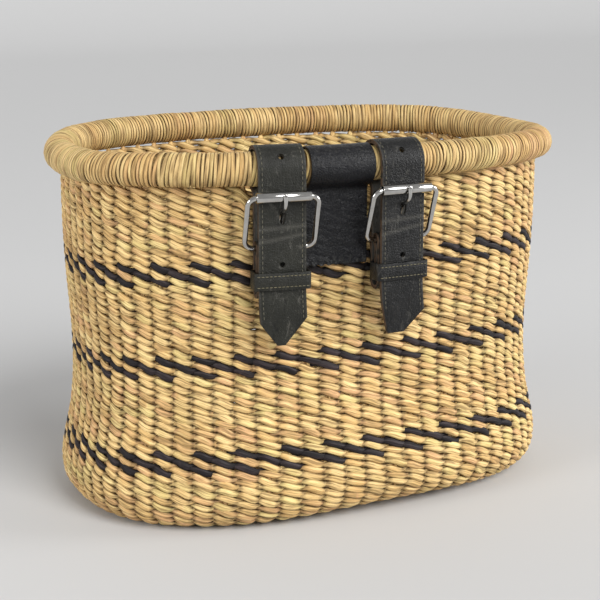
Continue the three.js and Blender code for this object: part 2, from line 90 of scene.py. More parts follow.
BELT_AT = {"left": -68 * MM, "right": 10 * MM}
STRAP_WIDTH = 30 * MM
STRAP = 2.4 * MM
PLY_GAP = 0.3 * MM
TAIL_Z = RIM_Z - 111 * MM
RING_RADIUS = RIM_RADIUS + 1.2 * MM + STRAP / 2
FRONT_OUT = RIM_OUT + RING_RADIUS
BACK_OUT = 0.6 * MM + STRAP / 2
WIRE = 3.5 * MM
WRAP_RADIUS = WIRE / 2 + 0.3 * MM + STRAP / 2
RETURN_RADIUS = WRAP_RADIUS + (STRAP + 0.5 * MM) / 2
BASE_OUT = BACK_OUT + 2 * RETURN_RADIUS - WRAP_RADIUS
BASE_Z = RIM_Z - 48 * MM
ROLLER_RADIUS = 3.25 * MM
ROLLER_OUT = FRONT_OUT + STRAP / 2 + 0.4 * MM + ROLLER_RADIUS
ROLLER_Z = BASE_Z + 33 * MM
ROLLER_LENGTH = 35 * MM
FRAME_WIDTH = 48 * MM
FRAME_CORNER = 5.5 * MM
PRONG_WIRE = 2.5 * MM
PATCH_AT = (BELT_AT["left"] + BELT_AT["right"]) / 2
PATCH_WIDTH = 42 * MM
PATCH_THICKNESS = 1.5 * MM
KEEPER_THICKNESS = 1.5 * MM
KEEPER_HEIGHT = 11 * MM
KEEPER_BOW = 0.25 * MM
FINE_HOLE = 3.6 * MM
STITCHED_FROM, STITCHED_TO = 20 * MM, 142 * MM


# ---------------------------------------------------------------- number helpers


def smooth_step(low, high, value):
    share = np.clip((value - low) / (high - low), 0, 1)
    return share * share * (3 - 2 * share)


def signed_power(value, power):
    return np.sign(value) * np.abs(value) ** power


def wander(table, layer, position):
    """Smooth values along closed strands, from a table with one row to a strand and one value to a step."""
    low = np.floor(position).astype(int)
    share = position - low
    share = share * share * (3 - 2 * share)
    steps = table.shape[1]
    return table[layer, low % steps] * (1 - share) + table[layer, (low + 1) % steps] * share


def ripple(x, y, size, seed):
    """Gentle two-way waves between about -1 and 1, as leather takes from use."""
    rng = np.random.default_rng(seed)
    total = np.zeros_like(x)
    for octave in range(5):
        turn, phase = rng.uniform(0, 2 * np.pi, 2)
        reach = 2 * np.pi * (1 + 0.55 * octave) / size
        total += np.sin((x * np.cos(turn) + y * np.sin(turn)) * reach + phase) / (1 + 0.4 * octave)
    return total / 3


class Oval:
    """The basket's outline, measured along its length from mid-front towards +X."""

    def __init__(self, half_length, half_width):
        angle = np.linspace(-np.pi / 2, 1.5 * np.pi, 8001)
        self.half_length, self.half_width = half_length, half_width
        self.x = half_length * signed_power(np.cos(angle), 2 / OVAL_POWER)
        self.y = half_width * signed_power(np.sin(angle), 2 / OVAL_POWER)
        steps = np.hypot(np.diff(self.x), np.diff(self.y))
        self.lengths = np.concatenate(([0.0], np.cumsum(steps)))
        self.perimeter = self.lengths[-1]

    def place(self, distance, out):
        wanted = np.mod(distance, self.perimeter)
        x = np.interp(wanted, self.lengths, self.x)
        y = np.interp(wanted, self.lengths, self.y)
        normal_x = signed_power(x / self.half_length, OVAL_POWER - 1) / self.half_length
        normal_y = signed_power(y / self.half_width, OVAL_POWER - 1) / self.half_width
        size = np.hypot(normal_x, normal_y)
        normal_x, normal_y = normal_x / size, normal_y / size
        return x + normal_x * out, y + normal_y * out, normal_x, normal_y

    def front(self, x):
        """The outline's point at x on the front, its normal, and its distance from mid-front."""
        y = -self.half_width * (1 - abs(x / self.half_length) ** OVAL_POWER) ** (1 / OVAL_POWER)
        quarter = self.x[: len(self.x) // 4]
        distance = math.copysign(np.interp(abs(x), quarter, self.lengths[: len(quarter)]), x)
        _, _, normal_x, normal_y = self.place(np.array([distance]), 0)
        return x, y, normal_x[0], normal_y[0], distance


OVAL = Oval(WALL_HALF_LENGTH, WALL_HALF_WIDTH)


def wall_out(z):
    flare = FOOT_FLARE * np.exp(-(((z - FOOT_FLARE_HEIGHT) / FOOT_FLARE_HEIGHT) ** 2))
    waist = WAIST_PINCH * np.exp(-(((z - WAIST_HEIGHT) / WAIST_SPREAD) ** 2))
    return flare - waist


def row_lift(z, normal_y):
    middle = np.minimum(np.abs(2 * z / WALL_TOP - 1), 1)
    return ROW_BOW * (1 - middle**4) * (normal_y**2 - 0.5)


def round_from(distance, at):
    """The shorter signed distance round the outline from a place on it."""
    return np.mod(distance - at + OVAL.perimeter / 2, OVAL.perimeter) - OVAL.perimeter / 2


class WallProfile:
    """The middle of the wall's thickness, from the floor's edge round the foot and up."""

    def __init__(self):
        turn = np.radians(np.linspace(-90, 0, 46))[:-1]
        radius = FOOT_CORNER - WALL / 2
        centre = float(wall_out(FOOT_CORNER)) - FOOT_CORNER
        height = np.linspace(FOOT_CORNER, 236 * MM, 216)
        self.out = np.concatenate((centre + radius * np.cos(turn), wall_out(height) - WALL / 2))
        self.z = np.concatenate((FOOT_CORNER + radius * np.sin(turn), height))
        steps = np.hypot(np.diff(self.out), np.diff(self.z))
        self.along = np.concatenate(([0.0], np.cumsum(steps)))
        self.up_out = np.gradient(self.out, self.along)
        self.up_z = np.gradient(self.z, self.along)

    def place(self, along, proud):
        out, z, up_out, up_z = (
            np.interp(along, self.along, values) for values in (self.out, self.z, self.up_out, self.up_z)
        )
        return out + proud * up_z, z - proud * up_out

    def at_height(self, z):
        return float(np.interp(z, self.z, self.along))


PROFILE = WallProfile()


def slot_dip(distance, z):
    """How far the top rows are pressed down where a belt passes out under the rim."""
    dip = np.zeros_like(distance)
    for at in BELT_AT.values():
        apart = np.abs(round_from(distance, OVAL.front(at)[4]))
        dip = np.maximum(dip, 1 - smooth_step(16 * MM, 23 * MM, apart))
    return SLOT_DIP * dip * smooth_step(185 * MM, 222 * MM, z)


def foot_lift(x):
    """The foot's edge stands clear of the table between the basket's ends."""
    return FOOT_LIFT * np.exp(-(((x - 25 * MM) / (85 * MM)) ** 2))


def on_wall(distance, along, proud):
    out, z = PROFILE.place(along, proud)
    z = z - slot_dip(distance, z)
    x, y, _, normal_y = OVAL.place(distance, out)
    z = z + foot_lift(x) * (1 - smooth_step(0, 60 * MM, z))
    return np.stack((x, y, z + row_lift(z, normal_y)), axis=1)


# ---------------------------------------------------------------- mesh helpers


def link(name, mesh):
    piece = bpy.data.objects.new(name, mesh)
    bpy.context.scene.collection.objects.link(piece)
    return piece


def discard(piece):
    plain = piece.data
    bpy.data.objects.remove(piece)
    bpy.data.meshes.remove(plain)


def finished_mesh(piece):
    """The piece's mesh with its modifiers in it. The piece itself is removed."""
    graph = bpy.context.evaluated_depsgraph_get()
    mesh = bpy.data.meshes.new_from_object(piece.evaluated_get(graph))
    discard(piece)
    return mesh


def from_bmesh(bm, name="part"):
    mesh = bpy.data.meshes.new(name)
    bm.to_mesh(mesh)
    bm.free()
    return mesh


def add_array(piece, count, offset):
    array = piece.modifiers.new("copies", "ARRAY")
    array.count = count
    array.use_relative_offset = False
    array.use_constant_offset = True
    array.constant_offset_displace = offset


def lattice(columns, sides, copies=1):
    """A grid of columns x sides faces in layers: x, y and z count the columns, sides and layers."""
    bm = bmesh.new()
    middle = Matrix.Translation((columns / 2, sides / 2, 0))
    bmesh.ops.create_grid(bm, x_segments=columns, y_segments=sides, size=0.5,
                          matrix=middle @ Matrix.Diagonal((columns, sides, 1, 1)))
    piece = link("lattice", from_bmesh(bm))
    add_array(piece, copies, (0, 0, 1))
    return finished_mesh(piece)


def corners_of(mesh):
    grid = np.empty(len(mesh.vertices) * 3, np.float32)
    mesh.vertices.foreach_get("co", grid)
    return grid.reshape(-1, 3).astype(float).T


def shaped(mesh, shape):
    """Moves a flat mesh's corners to shape(x, y, z), and gives them its pattern and named values."""
    x, y, z = corners_of(mesh)
    place, pattern, values = shape(x, y, z)
    loops = np.empty(len(mesh.loops), np.int32)
    mesh.loops.foreach_get("vertex_index", loops)
    layer = mesh.uv_layers.get("strand") or mesh.uv_layers.new(name="strand")
    layer.uv.foreach_set("vector", np.stack(pattern, axis=1)[loops].astype(np.float32).ravel())
    for name, value in values.items():
        attribute = mesh.attributes.new(name, "FLOAT", "POINT")
        attribute.data.foreach_set("value", value.astype(np.float32))
    mesh.vertices.foreach_set("co", place.astype(np.float32).ravel())
    return mesh


def closed_piece(name, meshes, materials, seam=1e-6, sharp=None):
    """One object from meshes whose seams and poles are closed and whose faces point outwards."""
    bm = bmesh.new()
    for mesh in meshes:
        bm.from_mesh(mesh)
        bpy.data.meshes.remove(mesh)
    bmesh.ops.remove_doubles(bm, verts=bm.verts, dist=seam)
    bmesh.ops.dissolve_degenerate(bm, edges=bm.edges, dist=seam / 2)
    bmesh.ops.recalc_face_normals(bm, faces=bm.faces)
    for face in bm.faces:
        face.smooth = True
    mesh = from_bmesh(bm, name)
    for material in materials:
        mesh.materials.append(material)
    if sharp is not None:
        mesh.set_sharp_from_angle(angle=math.radians(sharp))
    return link(name, mesh)


def placed(piece, body, slot, *nodes):
    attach(piece, body)
    if nodes:
        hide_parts(*nodes)
    return piece


# ---------------------------------------------------------------- materials


class Finish:
    """A node material with a principled shader and short calls for the nodes that feed it."""

    def __init__(self, name, **plain):
        self.material = bpy.data.materials.new(name)
        self.material.use_nodes = True
        self.nodes = self.material.node_tree.nodes
        self.links = self.material.node_tree.links
        self.shader = self.nodes["Principled BSDF"]
        for socket, value in plain.items():
            self.shader.inputs[socket.replace("_", " ")].default_value = value

    def node(self, kind, links=None, inputs=None, **settings):
        node = self.nodes.new(kind)
        for setting, value in settings.items():
            setattr(node, setting, value)
        for socket, value in (inputs or {}).items():
            node.inputs[socket].default_value = value
        for socket, source in (links or {}).items():
            self.links.new(source, node.inputs[socket])
        return node

    def value(self, name):
        return self.node("ShaderNodeAttribute", attribute_name=name).outputs["Fac"]

    def strand(self, scale):
        pattern = self.node("ShaderNodeUVMap", uv_map="strand").outputs["UV"]
        return self.node("ShaderNodeMapping", {"Vector": pattern}, {"Scale": scale}).outputs["Vector"]

    def place(self, scale=(1, 1, 1)):
        pattern = self.node("ShaderNodeTexCoord").outputs["Object"]
        return self.node("ShaderNodeMapping", {"Vector": pattern}, {"Scale": scale}).outputs["Vector"]

    def noise(self, vector, scale, detail=2.0, roughness=0.5, distortion=0.0):
        return self.node(
            "ShaderNodeTexNoise", {"Vector": vector},
            {"Scale": scale, "Detail": detail, "Roughness": roughness, "Distortion": distortion},
        ).outputs["Fac"]

    def cracks(self, vector, scale):
        return self.node("ShaderNodeTexVoronoi", {"Vector": vector}, {"Scale": scale},
                         feature="DISTANCE_TO_EDGE").outputs["Distance"]

    def spread(self, source, low, high, to_low=0.0, to_high=1.0):
        return self.node("ShaderNodeMapRange", {"Value": source},
                         {"From Min": low, "From Max": high, "To Min": to_low, "To Max": to_high}
                         ).outputs["Result"]

    def ramp(self, source, stops):
        node = self.node("ShaderNodeValToRGB", {"Fac": source})
        elements = node.color_ramp.elements
        while len(elements) < len(stops):
            elements.new(0.5)
        for element, (position, colour) in zip(elements, stops):
            element.position = position
            element.color = (*colour, 1)
        return node.outputs["Color"]

    def take(self, socket, value):
        """Feeds a socket from another node, or gives it a fixed number or colour."""
        if isinstance(value, bpy.types.NodeSocket):
            self.links.new(value, socket)
        else:
            socket.default_value = (*value, 1) if isinstance(value, tuple) else value

    def mix(self, share, first, second):
        node = self.node("ShaderNodeMix", data_type="RGBA")
        for socket, value in ((0, share), (6, first), (7, second)):
            self.take(node.inputs[socket], value)
        return node.outputs[2]

    def maths(self, operation, first, second):
        node = self.node("ShaderNodeMath", operation=operation)
        for socket, value in enumerate((first, second)):
            self.take(node.inputs[socket], value)
        return node.outputs[0]

    def feed(self, socket, source):
        self.links.new(source, self.shader.inputs[socket])

    def bump(self, height, strength, distance):
        node = self.node("ShaderNodeBump", {"Height": height}, {"Strength": strength, "Distance": distance})
        self.feed("Normal", node.outputs["Normal"])


def shade(colour, factor):
    return tuple(min(1.0, channel * factor) for channel in colour)


def mixed(first, second, share):
    return tuple(a + (b - a) * share for a, b in zip(first, second))


def straw_finish(name, pale, tan, rosy, green, gap, fibre=1.0):
    """Dry grass straw: each strand has its own tone and fine lines along it, and painted shade darkens it
    where it dives under other strands and in the gaps beside it.
    """
    finish = Finish(name, Specular_IOR_Level=0.3)
    tone = finish.ramp(finish.value("tone"), [
        (0.0, shade(tan, 0.72)), (0.2, rosy), (0.4, tan),
        (0.62, pale), (0.8, green), (1.0, shade(pale, 1.15)),
    ])
    patches = finish.noise(finish.place(), 26.0, 3.0)
    tone = finish.mix(finish.spread(patches, 0.38, 0.68, 0.0, 0.5), tone, shade(tan, 0.80))
    lines = finish.noise(finish.strand((0.045, 1.0 * fibre, 1)), 1.0, 2.0, 0.6)
    hairs = finish.noise(finish.strand((0.09, 2.6 * fibre, 1)), 1.0, 2.0, 0.6)
    tone = finish.mix(finish.spread(lines, 0.50, 0.38, 0.0, 0.78), tone, mixed(gap, tan, 0.30))
    tone = finish.mix(finish.spread(lines, 0.55, 0.68, 0.0, 0.75), tone, shade(pale, 1.16))
    tone = finish.mix(finish.spread(hairs, 0.50, 0.34, 0.0, 0.55), tone, mixed(gap, tan, 0.45))
    # Painted shade: the value on the mesh darkens the straw to the gap colour in the recesses and gaps.
    tone = finish.mix(finish.value("dive_shade"), tone, gap)
    finish.feed("Base Color", tone)
    finish.feed("Roughness", finish.spread(lines, 0.3, 0.7, 0.72, 0.45))
    finish.bump(finish.maths("ADD", lines, finish.maths("MULTIPLY", hairs, 0.5)), 0.8, 0.35 * MM)
    return finish.material


def leather_finish(name, base, worn_and_highlight, grain=1.0, gloss=0.42, rubbed=0.56, streak=0.30):
    """Thin finished leather: a fine pebble grain, rubbed lighter patches, painted shade along its creases,
    lighter wear and painted highlights from a value on the mesh, and a soft sheen.
    """
    finish = Finish(name, Specular_IOR_Level=0.28)
    place = finish.place()
    clouds = finish.noise(place, 45.0, 4.0, 0.6)
    pebble = finish.cracks(place, 620.0 * grain)
    pores = finish.noise(place, 1500.0 * grain, 2.0)
    creases_and_shade = finish.noise(finish.place((1.0, 1.0, streak)), 330.0, 5.0, 0.72, 0.8)
    scuffs = finish.noise(finish.place((1.0, 1.0, 1.5 * streak)), 190.0, 8.0, 0.8, 0.7)
    tone = finish.mix(finish.spread(clouds, 0.38, 0.68), base, shade(base, 1.7))
    tone = finish.mix(finish.spread(scuffs, rubbed, rubbed + 0.11, 0.0, 0.85), tone, worn_and_highlight)
    # Painted shade: the leather is darkened along the crease lines; the same noise also gives the creases'
    # bump.
    tone = finish.mix(finish.spread(creases_and_shade, 0.44, 0.34, 0.0, 0.8), tone, shade(base, 0.35))
    # Real wear and painted highlight both: the value on the mesh lightens the leather towards the worn
    # colour.
    tone = finish.mix(finish.spread(finish.value("wear_and_highlight"), 0.0, 1.0, 0.0, 0.75), tone, worn_and_highlight)
    finish.feed("Base Color", tone)
    finish.feed("Roughness", finish.spread(scuffs, 0.35, 0.7, gloss - 0.08, gloss + 0.16))
    cells = finish.spread(pebble, 0.0, 0.20, 0.0, 0.5)
    height = finish.maths("ADD", cells, finish.maths("MULTIPLY", pores, 0.3))
    finish.bump(finish.maths("ADD", height, finish.maths("MULTIPLY", creases_and_shade, 3.0)), 0.75, 0.34 * MM)
    return finish.material


def raw_edge_finish(name, pale, dark):
    """The cut edge of leather: pale fibres between dark dyed faces."""
    finish = Finish(name, Roughness=0.85, Specular_IOR_Level=0.2)
    fuzz = finish.noise(finish.place(), 1400.0, 4.0, 0.7)
    patches = finish.noise(finish.place(), 180.0, 3.0)
    tone = finish.mix(finish.spread(fuzz, 0.35, 0.7), pale, shade(pale, 0.55))
    finish.feed("Base Color", finish.mix(finish.spread(patches, 0.50, 0.64), tone, dark))
    finish.bump(fuzz, 0.6, 0.2 * MM)
    return finish.material


def thread_finish(name, tone):
    """Waxed thread with the twist of its plies."""
    finish = Finish(name, Roughness=0.6, Specular_IOR_Level=0.3)
    twist = finish.noise(finish.place(), 2600.0, 2.0)
    finish.feed("Base Color", finish.mix(finish.spread(twist, 0.35, 0.7),
                                         shade(tone, 0.6), shade(tone, 1.35)))
    finish.bump(twist, 0.5, 0.1 * MM)
    return finish.material


def nickel_finish(name, tone):
    """Polished nickel plate with a little haze and fine rubbing."""
    finish = Finish(name, Metallic=1.0)
    haze = finish.noise(finish.place(), 160.0, 4.0, 0.6)
    rub = finish.noise(finish.place((1.0, 1.0, 6.0)), 1300.0, 3.0)
    finish.feed("Base Color", finish.mix(finish.spread(haze, 0.4, 0.7), tone, shade(tone, 0.82)))
    finish.feed("Roughness", finish.spread(haze, 0.3, 0.7, 0.07, 0.20))
    finish.bump(rub, 0.12, 0.03 * MM)
    return finish.material


# ---------------------------------------------------------------- settings


def colour_setting(name, description, default):
    return FloatVectorProperty(name=name, description=description, default=default,
                               size=3, min=0, max=1, subtype="COLOR")


def length_setting(name, description, default):
    return FloatProperty(name=name, description=description, default=default,
                         min=0.01 * MM, soft_max=1, precision=5, unit="LENGTH")


class WeaveSettings(PropertyGroup):
    stakes: IntProperty(name="Stakes", description="Upright stakes round the wall, an even number",
                        default=68, min=20, max=120)
    swing: length_setting("Swing", "How far a strand swings in and out between stakes", 1.8 * MM)
    slant: length_setting("Slant", "How far a stitch's ends lie above and below its middle", 2.05 * MM)
    stitch_height: length_setting("Stitch height", "Half the height of a stitch at its middle", 2.85 * MM)
    stitch_thickness: length_setting("Stitch thickness", "Half the thickness of a strand", 1.15 * MM)
    crossing_height: length_setting("Crossing height", "Half the height of a strand where two cross",
                                    1.75 * MM)
    stake_radius: length_setting("Stake radius", "Radius of an upright stake", 1.3 * MM)
    seed: IntProperty(name="Seed", description="Seed of the strands' differences", default=11, min=0)


class RimSettings(PropertyGroup):
    turns: IntProperty(name="Turns", description="Turns of straw round the rim", default=370, min=50, max=600)
    bundle_radius: length_setting("Bundle radius", "Radius of the stalks under the wrapping", 9.5 * MM)
    seed: IntProperty(name="Seed", description="Seed of the wrapping's differences", default=23, min=0)


class LeatherSettings(PropertyGroup):
    stitch_step: length_setting("Stitch step", "From one stitch to the next along a belt", 3.2 * MM)
    stitch_inset: length_setting("Stitch inset", "From a belt's edge to its line of stitches", 2.4 * MM)
    thread_width: length_setting("Thread width", "Width of the sewing thread", 0.55 * MM)


class ColourSettings(PropertyGroup):
    pale_straw: colour_setting("Pale straw", "Bleached strands", (0.95, 0.68, 0.31))
    tan_straw: colour_setting("Tan straw", "Most strands", (0.78, 0.50, 0.19))
    rosy_straw: colour_setting("Rosy straw", "Strands with a pink cast", (0.78, 0.45, 0.22))
    green_straw: colour_setting("Green straw", "Strands cut young", (0.77, 0.60, 0.23))
    # Painted shade: the colour painted into the recesses where strands dive and into the gaps between rows.
    straw_gap_shade: colour_setting("Straw gaps", "Where strands dive under each other", (0.030, 0.011, 0.004))
    dyed_straw: colour_setting("Dyed straw", "The dark strands of the bands", (0.009, 0.006, 0.007))
    dyed_sheen: colour_setting("Dyed highlights", "Fibre lines on the dark strands", (0.045, 0.030, 0.032))
    left_leather: colour_setting("Left belt", "The left belt's leather", (0.012, 0.012, 0.009))
    right_leather: colour_setting("Right belt", "The right belt's leather", (0.0055, 0.0055, 0.0055))
    patch_leather: colour_setting("Patch", "The patch's leather", (0.0034, 0.0035, 0.0046))
    # The worn colour is also the painted highlight on the patch's crinkled edge.
    worn_leather: colour_setting("Worn leather", "Leather where it is rubbed", (0.105, 0.100, 0.086))
    raw_leather: colour_setting("Raw leather", "Cut edges of leather", (0.115, 0.070, 0.042))
    belt_thread: colour_setting("Belt thread", "Thread along the belts' edges", (0.125, 0.115, 0.082))
    keeper_thread: colour_setting("Keeper thread", "Thread on the keepers", (0.17, 0.15, 0.09))
    nickel: colour_setting("Nickel", "The buckles' plate", (0.52, 0.51, 0.49))
    backdrop: colour_setting("Backdrop", "Floor and wall behind", (0.575, 0.575, 0.575))


class StageSettings(PropertyGroup):
    camera_place: FloatVectorProperty(name="Camera", description="Where the camera stands",
                                      default=(-0.458, -0.960, 0.381), size=3, subtype="TRANSLATION")
    camera_aim: FloatVectorProperty(name="Aim", description="What the camera looks at",
                                    default=(-0.002, 0.0009, 0.124), size=3, subtype="TRANSLATION")
    lens: FloatProperty(name="Lens", description="Focal length in millimetres", default=92.9, min=10)


class BasketSettings(PropertyGroup):
    weave: PointerProperty(type=WeaveSettings)
    rim: PointerProperty(type=RimSettings)
    leather: PointerProperty(type=LeatherSettings)
    colours: PointerProperty(type=ColourSettings)
    stage: PointerProperty(type=StageSettings)


def finish_named(colours, name):
    """The material of that name, made the first time that it is asked for."""
    made = f"{name}_finish"
    if made in bpy.data.materials:
        return bpy.data.materials[made]
    # gap is the painted shade colour of the recesses: lighter for the rim, darker for the dyed strands.
    pale, tan, rosy, green, gap = (
        tuple(getattr(colours, key))
        for key in ("pale_straw", "tan_straw", "rosy_straw", "green_straw", "straw_gap_shade")
    )
    worn_and_highlight, raw = tuple(colours.worn_leather), tuple(colours.raw_leather)
    dyed, sheen = tuple(colours.dyed_straw), tuple(colours.dyed_sheen)
    makers = {
        "straw": lambda: straw_finish(made, pale, tan, rosy, green, gap),
        "rim_straw": lambda: straw_finish(made, shade(pale, 0.97), tan, rosy, shade(green, 0.9),
                                          shade(gap, 1.4), 0.8),
        # A darker copy of the straw: painted shade for the stalks seen through the slits of the wrapping.
        "shaded_inner_straw": lambda: straw_finish(made, shade(tan, 0.7), shade(tan, 0.55), shade(rosy, 0.5),
                                            shade(green, 0.5), gap),
        "dyed_straw": lambda: straw_finish(made, sheen, dyed, shade(dyed, 1.4), shade(dyed, 1.2),
                                           shade(dyed, 0.4)),
        "left_leather": lambda: leather_finish(made, tuple(colours.left_leather), worn_and_highlight),
        "right_leather": lambda: leather_finish(made, tuple(colours.right_leather),
                                                shade(worn_and_highlight, 0.95), 0.9, 0.38),
        "patch_leather": lambda: leather_finish(made, tuple(colours.patch_leather),
                                                shade(worn_and_highlight, 1.5), 0.8, 0.30, 0.63, 1.0),
        "lining_leather": lambda: leather_finish(made, shade(worn_and_highlight, 0.6), raw, 1.3, 0.6),
        "raw_edge": lambda: raw_edge_finish(made, raw, tuple(colours.left_leather)),
        "belt_thread": lambda: thread_finish(made, tuple(colours.belt_thread)),
        "keeper_thread": lambda: thread_finish(made, tuple(colours.keeper_thread)),
        "nickel": lambda: nickel_finish(made, tuple(colours.nickel)),
    }
    return makers[name]()


# ---------------------------------------------------------------- woven straw

STRAND_SIDES = 8
RINGS_PER_STAKE = 6
END_CROWDING = 0.12


def stake_share(share):
    """Stakes stand closer together round the basket's ends than along its front and back."""
    return share + END_CROWDING * np.sin(4 * np.pi * share) / (4 * np.pi)


def twined(settings, stakes, heights, pitches, place, seed):
    """Rows of two strands that cross between the stakes. place(distance share, along, proud, row) lays
    each corner down. Gives the mesh of the first strands and that of the second ones."""
    rng = np.random.default_rng(seed)
    rows = len(heights)
    columns = stakes * RINGS_PER_STAKE
    width_table = rng.uniform(-1, 1, (2 * rows, stakes))
    shift_table = rng.uniform(-1, 1, (2 * rows, stakes))
    tone_table = rng.uniform(0, 1, (2 * rows, stakes))
    splice_table = rng.uniform(0, 1, (2 * rows, stakes // 9 + 1))
    offset = rng.uniform(0, 9, 2 * rows)
    drift_table = rng.uniform(-0.16, 0.16, (rows, stakes))

    def strand(second):
        def shape(x, y, z):
            row = np.rint(z).astype(int)
            layer = 2 * row + second
            stake = x / RINGS_PER_STAKE - stakes / 2
            phase = stake + wander(drift_table, row, stake) + second
            turn = 2 * np.pi * y / STRAND_SIDES
            inward, across = np.cos(np.pi * phase), np.sin(np.pi * phase)
            width = wander(width_table, layer, phase)
            shift = wander(shift_table, layer, phase)
            size = pitches[row] / (5.1 * MM)
            flat = np.abs(inward) ** 1.15
            rise = settings.stitch_height - settings.crossing_height
            half_height = (settings.crossing_height + rise * flat) * size * (1.03 + 0.16 * width)
            half_thickness = settings.stitch_thickness * (1 + 0.13 * (1 - flat) + 0.06 * shift)
            along = (-settings.slant * across * (1 + 0.30 * width) + 0.38 * MM * shift) * size
            along = along + half_height * np.cos(turn)
            proud = settings.swing * signed_power(inward, 0.7)
            proud = proud + half_thickness * signed_power(np.sin(turn), 0.9)
            splice = splice_table[layer, np.floor((phase + stakes + offset[layer]) / 9).astype(int)
                                  % splice_table.shape[1]]
            tone = 0.50 * wander(tone_table, layer, phase) + 0.50 * splice
            # Painted shade: the strand is darker near the crossings between stakes, where it dives under its
            # partner, and along its top and bottom edges, where the rows meet.
            edge = np.abs(np.cos(turn)) ** 2
            dive_shade = 0.95 * (1 - smooth_step(0.08, 0.58, np.abs(inward)))
            dive_shade = dive_shade * (0.35 + 0.65 * edge) + 0.50 * edge**2
            pattern = (14.5 * stake + 31.7 * layer, 10.0 * y / STRAND_SIDES + 17.3 * layer)
            placed_at = place(stake / stakes, heights[row] + along, proud, row)
            return placed_at, pattern, {"tone": tone, "dive_shade": np.clip(dive_shade, 0, 1)}

        return shaped(lattice(columns, STRAND_SIDES, rows), shape)

    return strand(0), strand(1)


def wall_rows():
    """The rows' places along the wall's profile and their pitches, from the foot to the rim."""
    band_pitch = BAND_STEP / ROWS_TO_A_STEP

    def rows_from(middle, steps):
        return np.array([PROFILE.at_height(middle + step * band_pitch) for step in steps])

    lowest = PROFILE.at_height(BAND_HEIGHTS["lower"] - band_pitch)
    groups = {"foot": np.linspace(2.5 * MM, lowest, 11)[:-1]}
    names = list(BAND_HEIGHTS)
    for name, middle in BAND_HEIGHTS.items():
        groups[f"band_{name}"] = rows_from(middle, (-1, 0, 1))
        if name != names[-1]:
            groups[f"above_{name}"] = rows_from(middle, range(2, ROWS_TO_A_STEP - 1))
    top_low = PROFILE.at_height(BAND_HEIGHTS["upper"] + band_pitch)
    top_high = PROFILE.at_height(TOP_ROW_Z)
    groups["top"] = np.linspace(top_low, top_high, 11)[1:]
    pitches = {name: np.full(len(rows), np.diff(rows).mean()) for name, rows in groups.items()}
    return groups, pitches


def wall_place(share, along, proud, row):
    return on_wall(stake_share(share) * OVAL.perimeter, along, proud)


class BASKET_OT_wall(Operator):
    """Twine the plain rows of the wall"""

    bl_idname = "basket.wall"
    bl_label = "Plain wall rows"

    def execute(self, context):
        settings = context.scene.basket
        groups, pitches = wall_rows()
        straw = finish_named(settings.colours, "straw")
        for number, name in enumerate(key for key in groups if not key.startswith("band")):
            meshes = twined(settings.weave, settings.weave.stakes, groups[name], pitches[name],
                            wall_place, settings.weave.seed + number)
            placed(closed_piece(f"wall_rows_{name}", meshes, [straw]), "basket", "straw", "woven_wall")
        return {"FINISHED"}


class BASKET_OT_bands(Operator):
    """Twine the three bands, each with one dark strand and one plain strand to a row"""

    bl_idname = "basket.bands"
    bl_label = "Dark bands"

    def execute(self, context):
        settings = context.scene.basket
        groups, pitches = wall_rows()
        plain = finish_named(settings.colours, "straw")
        dyed = finish_named(settings.colours, "dyed_straw")
        for number, name in enumerate(BAND_HEIGHTS):
            rows = groups[f"band_{name}"]
            meshes = []
            for row, height in enumerate(rows):
                strands = twined(settings.weave, settings.weave.stakes, rows[row:row + 1],
                                 pitches[f"band_{name}"], wall_place,
                                 settings.weave.seed + 50 + 5 * number + row)
                for second, mesh in enumerate(strands):
                    dark = second == row % 2
                    mesh.polygons.foreach_set(
                        "material_index", np.full(len(mesh.polygons), int(dark), np.int32))
                    meshes.append(mesh)
            piece = closed_piece(f"band_rows_{name}", meshes, [plain, dyed])
            placed(piece, "basket", "dyed_straw", f"dyed_band_{name}")
        return {"FINISHED"}


class BASKET_OT_stakes(Operator):
    """Stand the stakes that the rows are twined round, up into the rim"""

    bl_idname = "basket.stakes"
    bl_label = "Stakes"

    def execute(self, context):
        settings = context.scene.basket
        weave = settings.weave
        rings = 40
        belts = [OVAL.front(at)[4] for at in BELT_AT.values()]
        rng = np.random.default_rng(weave.seed + 90)
        lean = rng.uniform(-1, 1, weave.stakes)

        def shape(x, y, z):
            stake = np.rint(z).astype(int)
            distance = stake_share(stake / weave.stakes) * OVAL.perimeter
            under = np.zeros(len(x), bool)
            for belt in belts:
                under |= np.abs(round_from(distance, belt)) < 19 * MM
            end = np.where(under, PROFILE.at_height(214 * MM), PROFILE.at_height(231 * MM))
            low = 1.0 * MM
            along = low + (end - low) * x / rings
            turn = 2 * np.pi * y / 6
            head = smooth_step(PROFILE.at_height(221 * MM), PROFILE.at_height(225 * MM), along)
            point = np.sqrt(np.clip(np.minimum(x, rings - x) / 1.5, 0, 1))
            half_width = weave.stake_radius * (1 + 1.3 * head) * point
            half_depth = weave.stake_radius * 0.85 * point
            side = half_width * np.cos(turn) + 0.7 * MM * lean[stake] * head
            place = on_wall(distance + side, along, half_depth * np.sin(turn))
            tone = 0.35 + 0.25 * lean[stake]
            pattern = (1000 * along + 7.9 * z, 8.0 * y / 6 + 3.1 * z)
            # Painted shade: the stakes are darker below their heads, where they stand behind the rows.
            return place, pattern, {"tone": tone, "dive_shade": 0.25 * (1 - head)}

        mesh = shaped(lattice(rings, 6, weave.stakes), shape)
        piece = closed_piece("stakes", [mesh], [finish_named(settings.colours, "straw")])
        placed(piece, "basket", "straw")
        return {"FINISHED"}


